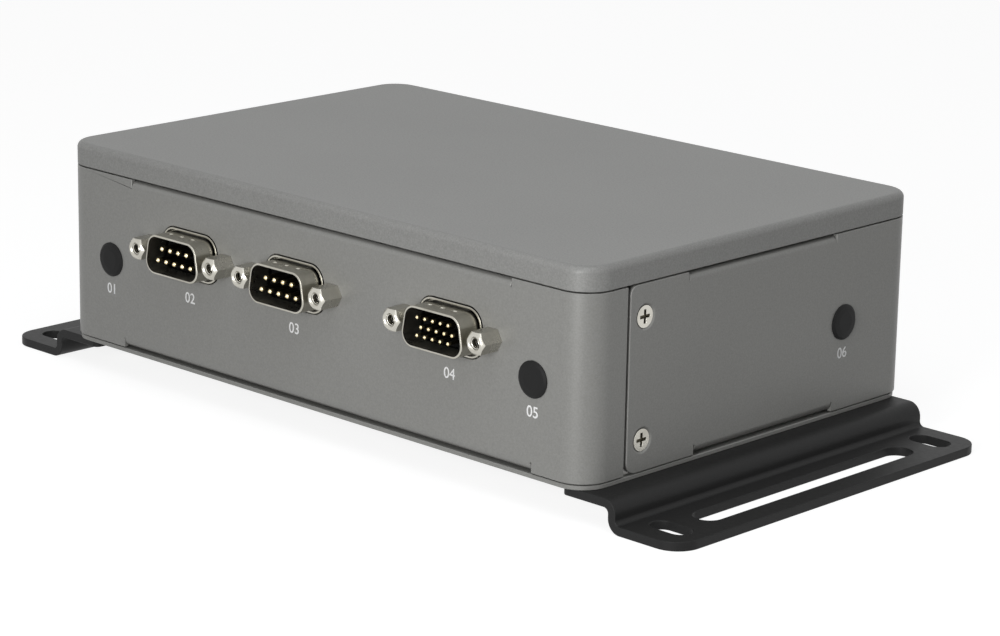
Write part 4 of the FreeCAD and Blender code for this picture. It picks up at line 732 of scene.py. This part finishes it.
# ================================================================ numbers
def number(text, place, turn):
    """Printed number, its middle at a place on a wall, turned about Z from the front."""
    curve = bpy.data.curves.new("number_" + text, "FONT")
    curve.body = text
    curve.size = DIGIT_HEIGHT / DIGIT_FONT_RATIO
    curve.align_x = "CENTER"
    curve.align_y = "CENTER"
    curve.extrude = INK_THICKNESS / 2
    curve.offset = INK_SPREAD
    writer = bpy.data.objects.new("number_" + text, curve)
    bpy.context.scene.collection.objects.link(writer)
    mesh = bpy.data.meshes.new_from_object(writer.evaluated_get(bpy.context.evaluated_depsgraph_get()))
    bpy.data.objects.remove(writer)
    stand = Matrix.Rotation(turn, 4, "Z") @ Matrix.Rotation(math.pi / 2, 4, "X")
    mesh.transform(Matrix.Translation(place) @ stand)
    piece = bpy.data.objects.new("number_" + text, mesh)
    bpy.context.scene.collection.objects.link(piece)
    set_material(piece, INK)
    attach(piece, "case")
    return piece


LABELS = (("01", "hole_plug_left", PLUG_LABEL_DROP), ("02", "serial_1_shell", SOCKET_LABEL_DROP),
          ("03", "serial_2_shell", SOCKET_LABEL_DROP), ("04", "digital_io_shell", SOCKET_LABEL_DROP),
          ("05", "hole_plug_right", PLUG_LABEL_DROP))
for text, node, drop in LABELS:
    centre = middle(node)
    number(text, Vector((centre.x, panel_face - INK_LIFT, centre.z - drop)), 0.0)
side_plug = middle("hole_plug_side")
ink_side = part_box("rear_shell")[1].x + INK_LIFT
number("06", Vector((ink_side, side_plug.y, side_plug.z - PLUG_LABEL_DROP)), math.pi / 2)


# ================================================================ studio
def camera():
    lens = bpy.data.cameras.new("camera")
    lens.lens = CAMERA_LENS
    lens.sensor_width = SENSOR_WIDTH
    lens.clip_start = 0.01
    lens.clip_end = 50
    eye = bpy.data.objects.new("camera", lens)
    back = Vector((math.sin(CAMERA_AZIMUTH) * math.cos(CAMERA_ELEVATION),
                   -math.cos(CAMERA_AZIMUTH) * math.cos(CAMERA_ELEVATION), math.sin(CAMERA_ELEVATION)))
    level = (-back).cross(Vector((0, 0, 1))).normalized()
    upright = level.cross(-back)
    right = math.cos(CAMERA_ROLL) * level + math.sin(CAMERA_ROLL) * upright
    up = -math.sin(CAMERA_ROLL) * level + math.cos(CAMERA_ROLL) * upright
    eye.matrix_world = Matrix.Translation(CAMERA_PLACE) @ Matrix((right, up, back)).transposed().to_4x4()
    bpy.context.scene.collection.objects.link(eye)
    bpy.context.scene.camera = eye


def seen_mask(tree):
    """1 where the camera, a reflection or a clear part looks, 0 for other light."""
    path = add(tree, "ShaderNodeLightPath")
    seen = math_node(tree, "MAXIMUM", path.outputs["Is Camera Ray"], path.outputs["Is Glossy Ray"])
    return math_node(tree, "MAXIMUM", seen, path.outputs["Is Transmission Ray"])


def floor():
    """Pale floor that shows white to the camera and keeps the object's shadow."""
    mesh = bpy.data.meshes.new("studio_floor")
    r = FLOOR_REACH
    mesh.from_pydata([(-r, -r, 0), (r, -r, 0), (r, r, 0), (-r, r, 0)], [], [(0, 1, 2, 3)])
    piece = bpy.data.objects.new("studio_floor", mesh)
    bpy.context.scene.collection.objects.link(piece)
    finish = bpy.data.materials.new("studio_floor")
    finish.use_nodes = True
    tree = finish.node_tree
    tree.nodes.clear()
    out = add(tree, "ShaderNodeOutputMaterial")
    seen = seen_mask(tree)
    plain = add(tree, "ShaderNodeBsdfDiffuse")
    plain.inputs["Color"].default_value = grey(FLOOR_BOUNCE)
    shadowed = add(tree, "ShaderNodeBsdfDiffuse")
    shadowed.inputs["Color"].default_value = grey(FLOOR_SHADE)
    glow = add(tree, "ShaderNodeEmission")
    glow.inputs["Strength"].default_value = FLOOR_GLOW
    bright = add(tree, "ShaderNodeAddShader")
    tree.links.new(shadowed.outputs[0], bright.inputs[0])
    tree.links.new(glow.outputs[0], bright.inputs[1])
    mix = add(tree, "ShaderNodeMixShader")
    tree.links.new(seen, mix.inputs[0])
    tree.links.new(plain.outputs[0], mix.inputs[1])
    tree.links.new(bright.outputs[0], mix.inputs[2])
    tree.links.new(mix.outputs[0], out.inputs["Surface"])
    set_material(piece, finish)


def softbox(name, azimuth, elevation, distance, width, height, power, colour=(1.0, 1.0, 1.0)):
    """Area light aimed at the object's middle. Azimuth 0 is straight in front, growing towards +X."""
    lamp = bpy.data.lights.new(name, "AREA")
    lamp.shape = "RECTANGLE"
    lamp.size = width
    lamp.size_y = height
    lamp.energy = power
    lamp.color = colour
    holder = bpy.data.objects.new(name, lamp)
    holder.visible_camera = False
    a = math.radians(azimuth)
    e = math.radians(elevation)
    way = Vector((math.sin(a) * math.cos(e), -math.cos(a) * math.cos(e), math.sin(e)))
    holder.location = AIM + way * distance
    holder.rotation_euler = way.to_track_quat("Z", "Y").to_euler()
    bpy.context.scene.collection.objects.link(holder)


def surroundings():
    """White to the camera and in reflections, a plain grey light otherwise."""
    world = bpy.data.worlds.new("studio")
    world.use_nodes = True
    tree = world.node_tree
    tree.nodes.clear()
    out = add(tree, "ShaderNodeOutputWorld")
    seen = seen_mask(tree)
    light = add(tree, "ShaderNodeBackground")
    light.inputs["Color"].default_value = grey(1.0)
    light.inputs["Strength"].default_value = FILL_LIGHT
    white = add(tree, "ShaderNodeBackground")
    white.inputs["Color"].default_value = grey(1.0)
    mix = add(tree, "ShaderNodeMixShader")
    tree.links.new(seen, mix.inputs[0])
    tree.links.new(light.outputs[0], mix.inputs[1])
    tree.links.new(white.outputs[0], mix.inputs[2])
    tree.links.new(mix.outputs[0], out.inputs["Surface"])
    bpy.context.scene.world = world


camera()
floor()
surroundings()
softbox("key", 25, 10, 0.45, 0.11, 0.2, 0.94)
softbox("overhead", 45, 60, 0.6, 0.4, 0.4, 0.82, (0.94, 0.97, 1.0))
bpy.context.scene.view_settings.view_transform = "Standard"
